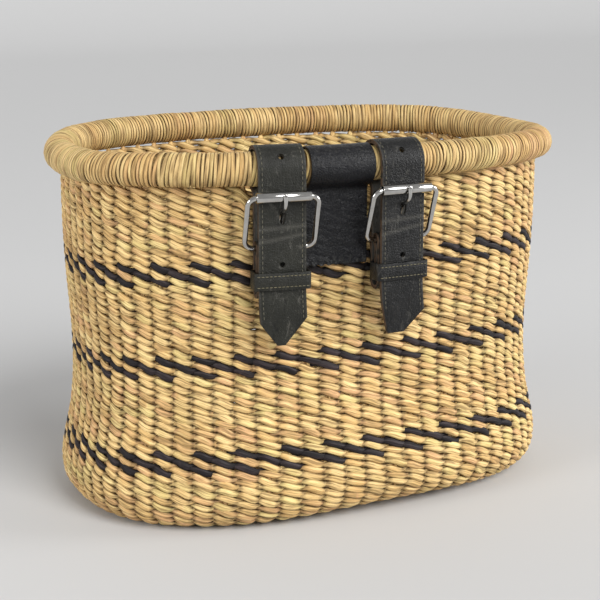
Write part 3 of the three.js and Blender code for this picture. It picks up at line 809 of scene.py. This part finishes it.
class BASKET_OT_floor(Operator):
    """Twine the floor in oval rings"""

    bl_idname = "basket.floor"
    bl_label = "Floor"

    def execute(self, context):
        settings = context.scene.basket
        edge = FOOT_CORNER - float(wall_out(FOOT_CORNER))
        first, last, rings = edge + 2.6 * MM, WALL_HALF_WIDTH - 2.8 * MM, 18
        insets = np.linspace(first, last, rings)
        pitch = np.diff(insets).mean()
        meshes = []
        for ring, inset in enumerate(insets):
            oval = Oval(WALL_HALF_LENGTH - inset, WALL_HALF_WIDTH - inset)
            stakes = 2 * max(4, round(oval.perimeter / (27 * MM)))

            def place(share, along, proud, row, oval=oval):
                x, y, _, _ = oval.place(share * oval.perimeter, -along)
                rise = foot_lift(x) * np.abs(y / WALL_HALF_WIDTH) ** 3
                return np.stack((x, y, WALL / 2 - proud + rise), axis=1)

            meshes += twined(settings.weave, stakes, np.zeros(1), np.full(1, pitch), place,
                             settings.weave.seed + 200 + ring)
        piece = closed_piece("floor_rings", meshes, [finish_named(settings.colours, "straw")])
        placed(piece, "basket", "straw", "woven_floor")
        return {"FINISHED"}


# ---------------------------------------------------------------- rim


def at_rim(distance, out, height):
    """The rim dips a little at the basket's two ends and is drawn in there."""
    x, y, normal_x, _ = OVAL.place(distance, out)
    return x - RIM_DRAWN_IN * normal_x**3, y, height - RIM_DIP * normal_x**4


class BASKET_OT_rim(Operator):
    """Lay the stalks of the rim and wind the straw round them"""

    bl_idname = "basket.rim"
    bl_label = "Wrapped rim"

    def execute(self, context):
        settings = context.scene.basket
        rim = settings.rim
        rng = np.random.default_rng(rim.seed)
        steps, sides = 20, 6
        pitch = OVAL.perimeter / rim.turns
        wide_table = rng.uniform(-1, 1, (1, rim.turns * 2))
        lean_table = rng.uniform(-1, 1, (1, rim.turns))
        lump_table = rng.uniform(-1, 1, (1, rim.turns * 3))
        tone_table = rng.uniform(0, 1, (1, rim.turns))
        patch_table = rng.uniform(0, 1, (1, rim.turns // 7))

        def winding(x, y, z):
            turn = x / steps
            layer = np.zeros(len(x), int)
            around = 2 * np.pi * turn
            section = 2 * np.pi * y / sides
            wide = wander(wide_table, layer, 2 * turn)
            lump = wander(lump_table, layer, 3 * turn)
            half_width = 0.54 * pitch * (1 + 0.24 * wide)
            half_depth = 0.66 * MM
            swell = 0.30 * MM * (2 * wander(patch_table, layer, turn / 7 + 0.5) - 1)
            radius = RIM_RADIUS - 1.0 * MM + 0.20 * MM * lump + swell + half_depth * np.sin(section)
            sideways = half_width * np.cos(section)
            lean = 0.7 * wander(lean_table, layer, turn) + 1.2 * wander(patch_table, layer, turn / 7)
            lean = lean * MM * np.sin(around)
            distance = (turn - rim.turns / 2) * pitch + sideways + lean
            out = RIM_OUT + radius * np.cos(around)
            height = RIM_Z + radius * np.sin(around)
            px, py, height = at_rim(distance, out, height)
            tone = 0.12 + 0.34 * wander(tone_table, layer, turn) + 0.48 * wander(patch_table, layer, turn / 7)
            # Painted shade: each turn is darker at its two sides, in the slits between the turns.
            edge = np.abs(np.cos(section)) ** 2.4
            pattern = (66.0 * turn, 5.0 * y / sides)
            values = {"tone": tone, "dive_shade": np.clip(0.9 * edge, 0, 1)}
            return np.stack((px, py, height), axis=1), pattern, values

        windings = shaped(lattice(rim.turns * steps, sides), winding)
        piece = closed_piece("rim_windings", [windings], [finish_named(settings.colours, "rim_straw")])
        placed(piece, "basket", "rim_straw", "rim_wrap")

        stalk_rings, stalk_sides = 240, 24

        def bundle(x, y, z):
            around = 2 * np.pi * y / stalk_sides
            radius = rim.bundle_radius - 0.35 * MM * (y % 2)
            distance = (x / stalk_rings - 0.5) * OVAL.perimeter
            px, py, height = at_rim(distance, RIM_OUT + radius * np.cos(around),
                                    RIM_Z + radius * np.sin(around))
            place = np.stack((px, py, height), axis=1)
            pattern = (1000 * distance, 60.0 * y / stalk_sides)
            # Painted shade: every second side of the bundle lies a little deeper and is painted darker.
            return place, pattern, {"tone": 0.4 + 0.2 * (y % 3), "dive_shade": 0.45 * (y % 2)}

        stalks = shaped(lattice(stalk_rings, stalk_sides), bundle)
        piece = closed_piece("rim_stalks", [stalks], [finish_named(settings.colours, "shaded_inner_straw")])
        placed(piece, "basket", "core_straw", "rim_core")
        return {"FINISHED"}


# ---------------------------------------------------------------- leather


class Route:
    """A bent line in (out of the wall, height), of straights and arcs. Left turns are positive."""

    def __init__(self, start, heading, moves):
        self.out, self.z, self.heading, self.along = [start[0]], [start[1]], [math.radians(heading)], [0.0]
        for ahead, turn, radius in moves:
            steps = max(2, math.ceil(abs(turn) / 3))
            turn = math.radians(turn)
            length = abs(turn) * radius if turn else ahead
            for _ in range(steps):
                heading = self.heading[-1] + turn / steps / 2
                self.out.append(self.out[-1] + length / steps * math.cos(heading))
                self.z.append(self.z[-1] + length / steps * math.sin(heading))
                self.heading.append(self.heading[-1] + turn / steps)
                self.along.append(self.along[-1] + length / steps)
        self.length = self.along[-1]

    def place(self, along, left):
        heading = np.interp(along, self.along, self.heading)
        before = np.minimum(along, 0)
        out = np.interp(along, self.along, self.out) + before * np.cos(heading)
        z = np.interp(along, self.along, self.z) + before * np.sin(heading)
        return out - left * np.sin(heading), z + left * np.cos(heading)


def belt_route():
    leave, heading = math.radians(250), math.radians(-20)
    slot_bend = 3 * MM
    through = (BACK_OUT - slot_bend * (1 + math.sin(heading)) - RIM_OUT - RING_RADIUS * math.cos(leave))
    through /= math.cos(heading)
    bend_end = RIM_Z + RING_RADIUS * math.sin(leave) + through * math.sin(heading)
    bend_end -= slot_bend * math.cos(heading)
    fall = bend_end - (RIM_Z - 74.1 * MM)
    return Route((FRONT_OUT, TAIL_Z), 90, [
        (111 * MM, 0, 0), (0, 250, RING_RADIUS), (through, 0, 0), (0, -70, slot_bend), (fall, 0, 0),
        (0, 180, RETURN_RADIUS), (26.1 * MM, 0, 0), (0, 180, WRAP_RADIUS),
        (0, 60, 3 * MM), (0, -60, 3 * MM), (14 * MM, 0, 0),
    ])


BELT_ROUTE = belt_route()
WRAP_START = BELT_ROUTE.length - (14 * MM + 2 * math.radians(60) * 3 * MM + math.pi * WRAP_RADIUS)
WRAP_END = WRAP_START + math.pi * WRAP_RADIUS


def in_belt_frame(side, across, out, z):
    """From a belt's own frame to the row frame."""
    x, y, normal_x, normal_y, _ = OVAL.front(BELT_AT[side])
    turn = math.atan2(normal_x, -normal_y)
    return np.stack((
        x + across * math.cos(turn) + out * math.sin(turn),
        y + across * math.sin(turn) - out * math.cos(turn),
        np.broadcast_to(z, across.shape),
    ), axis=1)


def slab(width, length, across, along, low, high, cuts=()):
    """A flat piece of leather, y along it and z through it. Each cut is a point and a normal that
    point at what is trimmed away."""
    bm = bmesh.new()
    lying = Matrix.Translation((0, length / 2, low)) @ Matrix.Diagonal((width, length, 1, 1))
    bmesh.ops.create_grid(bm, x_segments=across, y_segments=along, size=0.5, matrix=lying)
    risen = bmesh.ops.extrude_face_region(bm, geom=bm.faces[:])["geom"]
    risen = [v for v in risen if isinstance(v, bmesh.types.BMVert)]
    bmesh.ops.translate(bm, verts=risen, vec=(0, 0, high - low))
    for point, normal in cuts:
        cut = bmesh.ops.bisect_plane(bm, geom=bm.verts[:] + bm.edges[:] + bm.faces[:], dist=1e-7,
                                     plane_co=point, plane_no=normal, clear_outer=True)["geom_cut"]
        bmesh.ops.holes_fill(bm, edges=[e for e in cut if isinstance(e, bmesh.types.BMEdge)], sides=0)
    bmesh.ops.recalc_face_normals(bm, faces=bm.faces)
    return link("slab", from_bmesh(bm))


def punched(piece, holes):
    """Cuts round or square holes through a flat piece. A hole is (kind, x, y, width, length)."""
    bm = bmesh.new()
    for kind, x, y, width, length in holes:
        matrix = Matrix.Translation((x, y, 0)) @ Matrix.Diagonal((width, length, 8 * MM, 1))
        if kind == "round":
            bmesh.ops.create_cone(bm, cap_ends=True, segments=24, radius1=0.5, radius2=0.5,
                                  depth=1, matrix=matrix)
        else:
            bmesh.ops.create_cube(bm, size=1, matrix=matrix)
    cutter = link("punch", from_bmesh(bm))
    boolean = piece.modifiers.new("holes", "BOOLEAN")
    boolean.operation, boolean.solver, boolean.object = "DIFFERENCE", "EXACT", cutter
    return cutter


def eased(piece, width):
    bevel = piece.modifiers.new("edges", "BEVEL")
    bevel.limit_method, bevel.angle_limit = "ANGLE", math.radians(40)
    bevel.width, bevel.segments = width, 2
    bevel.use_clamp_overlap = True


def leather_mesh(piece, cutter=None, ease=0.22 * MM):
    """The finished flat mesh, with its outer side faces in the second material."""
    eased(piece, ease)
    bpy.context.view_layer.update()
    mesh = finished_mesh(piece)
    normals = np.empty(len(mesh.polygons) * 3, np.float32)
    mesh.polygons.foreach_get("normal", normals)
    centres = np.empty(len(mesh.polygons) * 3, np.float32)
    mesh.polygons.foreach_get("center", centres)
    across, along, _ = centres.reshape(-1, 3).T
    side = np.abs(normals.reshape(-1, 3)[:, 2]) < 0.35
    if cutter is not None:
        side &= ~((np.abs(across) < 13 * MM) & (along > 30 * MM))
        discard(cutter)
    mesh.polygons.foreach_set("material_index", side.astype(np.int32))
    return mesh


TAIL_CUTS = {
    "left": [((-5.3 * MM, 1.6 * MM, 0), (-14.6, -9.7, 0)), ((-0.4 * MM, 1.6 * MM, 0), (17.7, -15.4, 0)),
             ((0, 1.6 * MM, 0), (0, -1, 0))],
    "right": [((-12.9 * MM, 2.5 * MM, 0), (-23, -2.1, 0)), ((-1.4 * MM, 2.5 * MM, 0), (14, -16.4, 0)),
              ((0, 2.5 * MM, 0), (0, -1, 0))],
}
CREASING = {"left": (0.05 * MM, 3), "right": (0.10 * MM, 8)}
CREASES = ((70 * MM, 0.16), (76.5 * MM, 0.05), (97 * MM, -0.12), (44 * MM, 0.1))
TAIL_BEND = {"left": 3.0 * MM, "right": 5.0 * MM}


def tail_bend(side, along):
    """How far the free tail below the keeper has bent to the right and towards the wall."""
    free = np.clip(1 - along / (38 * MM), 0, 1) ** 1.5
    return TAIL_BEND[side] * free, 3.0 * MM * free


def ply_shape(side, wrinkle, seed):
    """How a flat ply lies along the belt's route, with creases across its tail."""

    def shape(x, y, z):
        front = 1 - smooth_step(100 * MM, 112 * MM, y)
        crease = ripple(3 * x, y, 26 * MM, seed) * wrinkle
        fold = sum(
            np.exp(-(((y - at - lean * x) / (1.1 * MM)) ** 2))
            for at, lean in CREASES
        )
        calm = 1 - np.exp(-(((y - 83 * MM) / (9 * MM)) ** 2))
        lift = (crease + 1.6 * fold * wrinkle) * front * calm
        out, height = BELT_ROUTE.place(y, z + lift)
        aside, inward = tail_bend(side, y)
        # Lighter along the folds and at the two edges.
        wear_and_highlight = np.clip(fold * 0.5 * front, 0, 1) + smooth_step(14.2 * MM, 15 * MM, np.abs(x)) * 0.35
        pattern = (1000 * x, 1000 * y)
        place = in_belt_frame(side, x + aside, out - inward, height)
        return place, pattern, {"wear_and_highlight": np.clip(wear_and_highlight, 0, 1)}

    return shape


class BASKET_OT_belts(Operator):
    """Cut, punch and bend both plies of the two belts"""

    bl_idname = "basket.belts"
    bl_label = "Belts"

    def execute(self, context):
        colours = context.scene.basket.colours
        holes = [
            ("round", 0, 53.5 * MM, FINE_HOLE, FINE_HOLE),
            ("round", 0, 111 * MM + math.radians(37) * RING_RADIUS, FINE_HOLE, FINE_HOLE),
            ("square", 0, (WRAP_START + WRAP_END) / 2, 5.5 * MM, WRAP_END - WRAP_START + 11.3 * MM),
        ]
        plies = {
            "strap_face": (-STRAP / 2, -PLY_GAP / 2, "{}_leather", "leather",
                           ("round", 0, 83.4 * MM, 4.2 * MM, 9.6 * MM)),
            "strap_lining": (PLY_GAP / 2, STRAP / 2, "lining_leather", "lining",
                             ("round", 0, 82.3 * MM, 4.9 * MM, 12.2 * MM)),
        }
        for side in SIDES:
            for name, (low, high, finish, slot, prong_hole) in plies.items():
                piece = slab(STRAP_WIDTH, BELT_ROUTE.length, 20, 230, low, high, TAIL_CUTS[side])
                mesh = leather_mesh(piece, punched(piece, [*holes, prong_hole]))
                shaped(mesh, ply_shape(side, *CREASING[side]))
                materials = [finish_named(colours, key) for key in (finish.format(side), "raw_edge")]
                piece = closed_piece(f"{side}_belt_{name[6:]}", [mesh], materials, sharp=50)
                placed(piece, f"{side}_belt", slot, f"{side}_{name}")
        return {"FINISHED"}


def stitch_line(width, length, count, step):
    """A straight line of stitches, each lying along y."""
    bm = bmesh.new()
    lying = Matrix.Rotation(math.pi / 2, 4, "X")
    bmesh.ops.create_uvsphere(bm, u_segments=6, v_segments=4, radius=0.5,
                              matrix=Matrix.Diagonal((width, length, 0.5 * MM, 1)) @ lying)
    piece = link("stitches", from_bmesh(bm))
    add_array(piece, count, (0, step, 0))
    bpy.context.view_layer.update()
    return finished_mesh(piece)


class BASKET_OT_belt_stitching(Operator):
    """Sew the two lines of thread along each belt"""

    bl_idname = "basket.belt_stitching"
    bl_label = "Belt stitching"

    def execute(self, context):
        settings = context.scene.basket
        leather = settings.leather
        for side in SIDES:
            meshes = []
            for hand in (-1, 1):
                count = int((STITCHED_TO - STITCHED_FROM) / leather.stitch_step)
                mesh = stitch_line(leather.thread_width, 0.74 * leather.stitch_step,
                                   count, leather.stitch_step)

                def shape(x, y, z, hand=hand, side=side):
                    along = STITCHED_FROM + y
                    across = hand * (STRAP_WIDTH / 2 - leather.stitch_inset) + x
                    aside, inward = tail_bend(side, along)
                    out, height = BELT_ROUTE.place(along, -STRAP / 2 - 0.02 * MM - z)
                    place = in_belt_frame(side, across + aside, out - inward, height)
                    return place, (1000 * across, 1000 * along), {}

                meshes.append(shaped(mesh, shape))
            thread = finish_named(settings.colours, "belt_thread")
            piece = closed_piece(f"{side}_belt_stitches", meshes, [thread])
            placed(piece, f"{side}_belt", "leather")
        return {"FINISHED"}


def quarter_turn(start, steps):
    """The directions of a quarter turn from a starting angle in degrees."""
    for step in range(steps + 1):
        turn = math.radians(start + 90 * step / steps)
        yield math.cos(turn), math.sin(turn)


def rounded_box_path(half_width, low, high, corner, steps):
    """Points and outward directions round a box with rounded corners, as (across, out)."""
    centres = [(half_width - corner, low + corner, -90), (half_width - corner, high - corner, 0),
               (-half_width + corner, high - corner, 90), (-half_width + corner, low + corner, 180)]
    points, ways = [], []
    for x, y, start in centres:
        for way in quarter_turn(start, steps):
            points.append((x + corner * way[0], y + corner * way[1]))
            ways.append(way)
    return closed_samples(points, ways)


def closed_samples(points, ways):
    """The closed path with its long straights divided evenly, as arrays."""
    filled, directions = [], []
    for index, (point, way) in enumerate(zip(points, ways)):
        after, after_way = points[(index + 1) % len(points)], ways[(index + 1) % len(points)]
        gap = math.dist(point, after)
        pieces = max(1, round(gap / (1.2 * MM)))
        for piece in range(pieces):
            share = piece / pieces
            filled.append([a + (b - a) * share for a, b in zip(point, after)])
            directions.append([a + (b - a) * share for a, b in zip(way, after_way)])
    return np.array(filled), np.array(directions)


def swept_ring(path, ways, section, place):
    """A closed section carried round a closed path: place(across, out, through) gives each corner."""
    count, sides = len(path), len(section)

    def shape(x, y, z):
        station, side = np.rint(x).astype(int) % count, np.rint(y).astype(int) % sides
        proud, along = section[side].T
        across = path[station, 0] + ways[station, 0] * proud
        out = path[station, 1] + ways[station, 1] * proud
        pattern = (1.2 * x, 1000 * along)
        return place(across, out, along), pattern, {}

    return shaped(lattice(count, sides), shape)


def rounded_section(half_width, half_height, corner, steps):
    """A rounded rectangle as an array of points."""
    points = []
    for x, y, start in ((1, -1, -90), (1, 1, 0), (-1, 1, 90), (-1, -1, 180)):
        for way_x, way_y in quarter_turn(start, steps):
            points.append((x * (half_width - corner) + corner * way_x,
                           y * (half_height - corner) + corner * way_y))
    return np.array(points)


def keeper_bow(across):
    """A keeper stands off the belt most at its middle."""
    return KEEPER_BOW * np.cos(across / (19 * MM) * np.pi / 2)


class BASKET_OT_keepers(Operator):
    """Fold a leather keeper round each belt and sew its two edges"""

    bl_idname = "basket.keepers"
    bl_label = "Keepers"

    def execute(self, context):
        settings = context.scene.basket
        colours = settings.colours
        for side in SIDES:
            low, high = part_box(f"{side}_keeper")
            middle = (low.z + high.z) / 2
            near, far = 4.4 * MM, FRONT_OUT + STRAP / 2 + 0.6 * MM + KEEPER_THICKNESS
            half = KEEPER_THICKNESS / 2
            half_width = STRAP_WIDTH / 2 + 1.75 * MM + half
            path, ways = rounded_box_path(half_width, near + half, far - half, 2.2 * MM, 5)
            section = rounded_section(half, KEEPER_HEIGHT / 2, 0.45 * MM, 2)

            def place(across, out, along, side=side, middle=middle):
                bow = keeper_bow(across) * (out > 11 * MM)
                return in_belt_frame(side, across, out + bow, middle + along)

            mesh = swept_ring(path, ways, section, place)
            leather = finish_named(colours, f"{side}_leather")
            piece = closed_piece(f"{side}_keeper_band", [mesh], [leather], sharp=60)
            placed(piece, f"{side}_keeper", "leather", f"{side}_keeper")

            meshes = []
            for height in (-3.4 * MM, 3.4 * MM):
                count, step = 13, 2.6 * MM
                sewn = stitch_line(0.6 * MM, 2.0 * MM, count, step)

                def shape(x, y, z, height=height, side=side, far=far, middle=middle):
                    across = y - (count - 1) * step / 2
                    out = far + keeper_bow(across) + z
                    place = in_belt_frame(side, across, out, middle + height + x)
                    return place, (1000 * across, 1000 * x), {}

                meshes.append(shaped(sewn, shape))
            piece = closed_piece(f"{side}_keeper_stitches", meshes, [finish_named(colours, "keeper_thread")])
            placed(piece, f"{side}_keeper", "leather")
        return {"FINISHED"}


def patch_route():
    radius = RIM_RADIUS + 0.3 * MM + PATCH_THICKNESS / 2
    lying = 0.3 * MM + PATCH_THICKNESS / 2
    bend, leave = 4 * MM, math.radians(60)
    slanted = (RIM_OUT + radius * math.cos(leave) - lying - bend * (1 - math.cos(leave))) / math.sin(leave)
    fallen = radius * math.sin(leave) + slanted * math.cos(leave) + bend * math.sin(leave)
    return Route((RIM_OUT - radius, RIM_Z - 32 * MM), 90, [
        (32 * MM, 0, 0), (0, -240, radius), (slanted, 0, 0), (0, 60, bend), (63 * MM - fallen, 0, 0),
    ])


class BASKET_OT_patch(Operator):
    """Lay the leather patch over the rim between the belts"""

    bl_idname = "basket.patch"
    bl_label = "Leather patch"

    def execute(self, context):
        colours = context.scene.basket.colours
        route = patch_route()
        distance = OVAL.front(PATCH_AT)[4]
        piece = slab(PATCH_WIDTH, route.length, 42, 150, -PATCH_THICKNESS / 2, PATCH_THICKNESS / 2)
        mesh = leather_mesh(piece, ease=0.3 * MM)

        def shape(x, y, z):
            from_end = route.length - y
            crinkle = (1 - smooth_step(0, 9 * MM, from_end)) * ripple(2.2 * x, y, 9 * MM, 31)
            low = 1 - smooth_step(36 * MM, 50 * MM, from_end)
            lift = 0.12 * MM * ripple(x, y, 17 * MM, 17) + 0.30 * MM * low * (1 + ripple(x, y, 11 * MM, 19))
            lift = lift + 0.8 * MM * (crinkle + 0.5 * np.abs(crinkle))
            along = y + 1.1 * MM * crinkle * (from_end < 9 * MM)
            out, height = route.place(along, z + np.maximum(lift, -0.05 * MM))
            place_x, place_y, _, _ = OVAL.place(distance + x, out)
            on_rim = np.exp(-(((y - 57 * MM) / (9 * MM)) ** 2))
            strokes = np.clip(ripple(1.3 * x, y, 4 * MM, 5) - 0.35, 0, 1) * (on_rim + 0.25 * low)
            # Painted highlight on the crests of the crinkled lower edge, and real scuffs in sparse light
            # strokes along the rim.
            wear_and_highlight = np.clip(0.8 * np.clip(crinkle, 0, 1) ** 2 + 1.1 * strokes, 0, 1)
            return np.stack((place_x, place_y, height), axis=1), (1000 * x, 1000 * y), {"wear_and_highlight": wear_and_highlight}

        shaped(mesh, shape)
        materials = [finish_named(colours, "patch_leather"), finish_named(colours, "raw_edge")]
        piece = closed_piece("patch", [mesh], materials, sharp=55)
        placed(piece, "basket", "patch_leather", "leather_patch")
        return {"FINISHED"}


# ---------------------------------------------------------------- buckles


def round_section(radius, sides):
    turn = np.arange(sides) * 2 * np.pi / sides
    return np.stack((radius * np.cos(turn), radius * np.sin(turn)), axis=1)


class BASKET_OT_buckle_frames(Operator):
    """Bend the wire frames of the two buckles"""

    bl_idname = "basket.buckle_frames"
    bl_label = "Buckle frames"

    def execute(self, context):
        colours = context.scene.basket.colours
        tilt = math.atan2(ROLLER_OUT - BASE_OUT, ROLLER_Z - BASE_Z)
        length = math.hypot(ROLLER_OUT - BASE_OUT, ROLLER_Z - BASE_Z)
        path, ways = rounded_box_path((FRAME_WIDTH - WIRE) / 2, 0, length, FRAME_CORNER, 8)
        for side in SIDES:

            def place(across, up, through, side=side):
                out = BASE_OUT + up * math.sin(tilt) - through * math.cos(tilt)
                height = BASE_Z + up * math.cos(tilt) + through * math.sin(tilt)
                return in_belt_frame(side, across, out, height)

            mesh = swept_ring(path, ways, round_section(WIRE / 2, 14), place)
            piece = closed_piece(f"{side}_frame_wire", [mesh], [finish_named(colours, "nickel")])
            placed(piece, f"{side}_buckle_frame", "nickel", f"{side}_buckle_frame")
        return {"FINISHED"}


class BASKET_OT_buckle_rollers(Operator):
    """Roll the tubes that turn on the buckles' front bars"""

    bl_idname = "basket.buckle_rollers"
    bl_label = "Buckle rollers"

    def execute(self, context):
        colours = context.scene.basket.colours
        half, inner = ROLLER_LENGTH / 2 - 0.2 * MM, WIRE / 2 + 0.6 * MM
        profile = [
            (-half + 1.2 * MM, inner + 0.3 * MM), (-half + 0.5 * MM, inner), (-half, inner + 0.35 * MM),
            (-half, ROLLER_RADIUS - 0.35 * MM), (-half + 0.35 * MM, ROLLER_RADIUS),
        ]
        profile = profile + [(-x, radius) for x, radius in reversed(profile)]
        for side in SIDES:
            bm = bmesh.new()
            corners = [bm.verts.new((x, 0, radius)) for x, radius in profile]
            edges = [bm.edges.new((a, b)) for a, b in zip(corners, corners[1:] + corners[:1])]
            bmesh.ops.spin(bm, geom=corners + edges, cent=(0, 0, 0), axis=(1, 0, 0), angle=2 * math.pi,
                           steps=40, use_merge=True)
            bmesh.ops.recalc_face_normals(bm, faces=bm.faces)
            mesh = from_bmesh(bm)

            def shape(x, y, z, side=side):
                turn = np.arctan2(z, y)
                outer = np.hypot(y, z) > ROLLER_RADIUS - 0.5 * MM
                seam = 1 - 0.06 * np.exp(-((turn + 2.0) / 0.09) ** 2) * outer
                out, height = ROLLER_OUT - y * seam, ROLLER_Z + z * seam
                return in_belt_frame(side, x, out, height), (1000 * x, 10 * turn), {}

            shaped(mesh, shape)
            piece = closed_piece(f"{side}_roller_tube", [mesh], [finish_named(colours, "nickel")], sharp=50)
            placed(piece, f"{side}_buckle_roller", "nickel", f"{side}_buckle_roller")
        return {"FINISHED"}


def prong_line():
    """The prong's middle line as (out, height): a curl round the base bar, then the shank and tip."""
    radius = WIRE / 2 + 0.35 * MM + PRONG_WIRE / 2
    over = ROLLER_OUT + ROLLER_RADIUS + PRONG_WIRE / 2 + 0.4 * MM
    shank = BASE_OUT + radius
    hole = BASE_Z + 22.3 * MM
    curl = [(BASE_OUT + radius * math.cos(math.radians(a)), BASE_Z + radius * math.sin(math.radians(a)))
            for a in range(-320, 1, 20)]
    knots = [
        (shank, BASE_Z + 11.15 * MM), (shank + 0.2 * MM, hole - 5.5 * MM), (FRONT_OUT, hole),
        ((FRONT_OUT + over) / 2, ROLLER_Z - 2.6 * ROLLER_RADIUS),
        (over - 0.8 * MM, ROLLER_Z - 1.4 * ROLLER_RADIUS), (over, ROLLER_Z),
        (over - 0.2 * MM, ROLLER_Z + 0.9 * ROLLER_RADIUS),
    ]
    points = np.array(curl + knots)
    before, after = 2 * points[0] - points[1], 2 * points[-1] - points[-2]
    points = np.vstack((before, points, after))
    line = []
    for index in range(1, len(points) - 2):
        a, b, c, d = points[index - 1:index + 3]
        for share in np.arange(0, 1, 0.125):
            line.append(0.5 * (2 * b + (c - a) * share + (2 * a - 5 * b + 4 * c - d) * share**2
                               + (3 * b - a - 3 * c + d) * share**3))
    line.append(points[-2])
    return np.array(line)


class BASKET_OT_buckle_prongs(Operator):
    """Bend the prongs that go through the belts and over the rollers"""

    bl_idname = "basket.buckle_prongs"
    bl_label = "Buckle prongs"

    def execute(self, context):
        colours = context.scene.basket.colours
        line = prong_line()
        way = np.gradient(line, axis=0)
        way /= np.linalg.norm(way, axis=1)[:, None]
        along = np.concatenate(([0.0], np.cumsum(np.linalg.norm(np.diff(line, axis=0), axis=1))))
        from_tip = along[-1] - along
        sides = 12
        for side in SIDES:

            def shape(x, y, z, side=side):
                station = np.clip(np.rint(x).astype(int), 0, len(line) - 1)
                turn = 2 * np.pi * y / sides
                end = np.minimum(from_tip[station], along[station]) / (1.1 * MM)
                round_end = np.sqrt(np.clip(1 - (1 - np.clip(end, 0, 1)) ** 2, 0, 1))
                flat = 1 - smooth_step(0, 9 * MM, from_tip[station])
                wide = PRONG_WIRE / 2 * (1 + 0.12 * flat) * round_end
                thick = PRONG_WIRE / 2 * (1 - 0.30 * flat) * round_end
                out = line[station, 0] + thick * np.sin(turn) * way[station, 1]
                height = line[station, 1] - thick * np.sin(turn) * way[station, 0]
                place = in_belt_frame(side, wide * np.cos(turn), out, height)
                return place, (1000 * along[station], 8 * y / sides), {}

            mesh = shaped(lattice(len(line) - 1, sides), shape)
            piece = closed_piece(f"{side}_prong_wire", [mesh], [finish_named(colours, "nickel")])
            placed(piece, f"{side}_buckle_prong", "nickel", f"{side}_buckle_prong")
        return {"FINISHED"}


# ---------------------------------------------------------------- stage


def soft_light(name, kind, place, power, **settings):
    """A light aimed at the basket's middle."""
    light = bpy.data.lights.new(name, kind)
    light.energy = power
    for setting, value in settings.items():
        setattr(light, setting, value)
    lamp = bpy.data.objects.new(name, light)
    lamp.location = place
    lamp.rotation_euler = (Vector((0, 0, 0.12)) - Vector(place)).to_track_quat("-Z", "Y").to_euler()
    bpy.context.scene.collection.objects.link(lamp)


class BASKET_OT_stage(Operator):
    """Set up the floor, the soft lights and the camera"""

    bl_idname = "basket.stage"
    bl_label = "Stage"

    def execute(self, context):
        scene = context.scene
        settings = scene.basket
        scene.view_settings.view_transform = "Standard"

        bm = bmesh.new()
        bmesh.ops.create_grid(bm, x_segments=1, y_segments=1, size=6)
        back = [edge for edge in bm.edges if all(v.co.y > 5 for v in edge.verts)]
        wall = bmesh.ops.extrude_edge_only(bm, edges=back)["geom"]
        bmesh.ops.translate(bm, verts=[v for v in wall if isinstance(v, bmesh.types.BMVert)], vec=(0, 0, 6))
        bmesh.ops.bevel(bm, geom=back, offset=2.5, segments=24, profile=0.5, affect="EDGES", material=-1)
        for face in bm.faces:
            face.smooth = True
        floor = link("studio_floor", from_bmesh(bm, "studio_floor"))
        paper = Finish("studio_paper", Roughness=0.9, Specular_IOR_Level=0.1)
        fleck = paper.noise(paper.place(), 3.0)
        tone = tuple(settings.colours.backdrop)
        paper.feed("Base Color", paper.mix(fleck, tone, shade(tone, 0.995)))
        floor.data.materials.append(paper.material)

        world = bpy.data.worlds.new("studio_air")
        world.use_nodes = True
        world.node_tree.nodes["Background"].inputs["Color"].default_value = (1.0, 1.0, 1.0, 1)
        world.node_tree.nodes["Background"].inputs["Strength"].default_value = 0.42
        scene.world = world

        soft_light("key_light", "SUN", (0.35, -1.5, 1.3), 2.35, angle=math.radians(34))
        soft_light("left_light", "AREA", (-1.9, -0.5, 0.75), 17.0, shape="DISK", size=0.9)
        soft_light("right_light", "AREA", (1.9, -0.9, 0.65), 24.0, shape="DISK", size=0.9)

        stage = settings.stage
        camera = bpy.data.objects.new("camera", bpy.data.cameras.new("camera"))
        camera.data.lens, camera.data.sensor_width = stage.lens, 36
        camera.data.clip_end = 60
        camera.location = stage.camera_place
        way = Vector(stage.camera_aim) - Vector(stage.camera_place)
        camera.rotation_euler = way.to_track_quat("-Z", "Y").to_euler()
        scene.collection.objects.link(camera)
        scene.camera = camera
        return {"FINISHED"}


# ---------------------------------------------------------------- the add-on

STEPS = (
    BASKET_OT_stage, BASKET_OT_wall, BASKET_OT_bands, BASKET_OT_stakes, BASKET_OT_floor, BASKET_OT_rim,
    BASKET_OT_patch, BASKET_OT_belts, BASKET_OT_belt_stitching, BASKET_OT_keepers,
    BASKET_OT_buckle_frames, BASKET_OT_buckle_rollers, BASKET_OT_buckle_prongs,
)


class BASKET_PT_panel(Panel):
    """The basket's sizes, colours and steps"""

    bl_idname = "BASKET_PT_panel"
    bl_label = "Handlebar basket"
    bl_space_type = "VIEW_3D"
    bl_region_type = "UI"
    bl_category = "Basket"

    def draw(self, context):
        settings = context.scene.basket
        for group in (settings.weave, settings.rim, settings.leather, settings.colours, settings.stage):
            box = self.layout.box()
            for name in group.bl_rna.properties.keys():
                if name not in ("rna_type", "name"):
                    box.prop(group, name)
        for step in STEPS:
            self.layout.operator(step.bl_idname)


CLASSES = (
    WeaveSettings, RimSettings, LeatherSettings, ColourSettings, StageSettings, BasketSettings,
    *STEPS, BASKET_PT_panel,
)


def register():
    for entry in CLASSES:
        bpy.utils.register_class(entry)
    bpy.types.Scene.basket = PointerProperty(type=BasketSettings)


def unregister():
    del bpy.types.Scene.basket
    for entry in reversed(CLASSES):
        bpy.utils.unregister_class(entry)


def main():
    register()
    for step in STEPS:
        group, name = step.bl_idname.split(".")
        getattr(getattr(bpy.ops, group), name)()


if __name__ == "__main__":
    main()
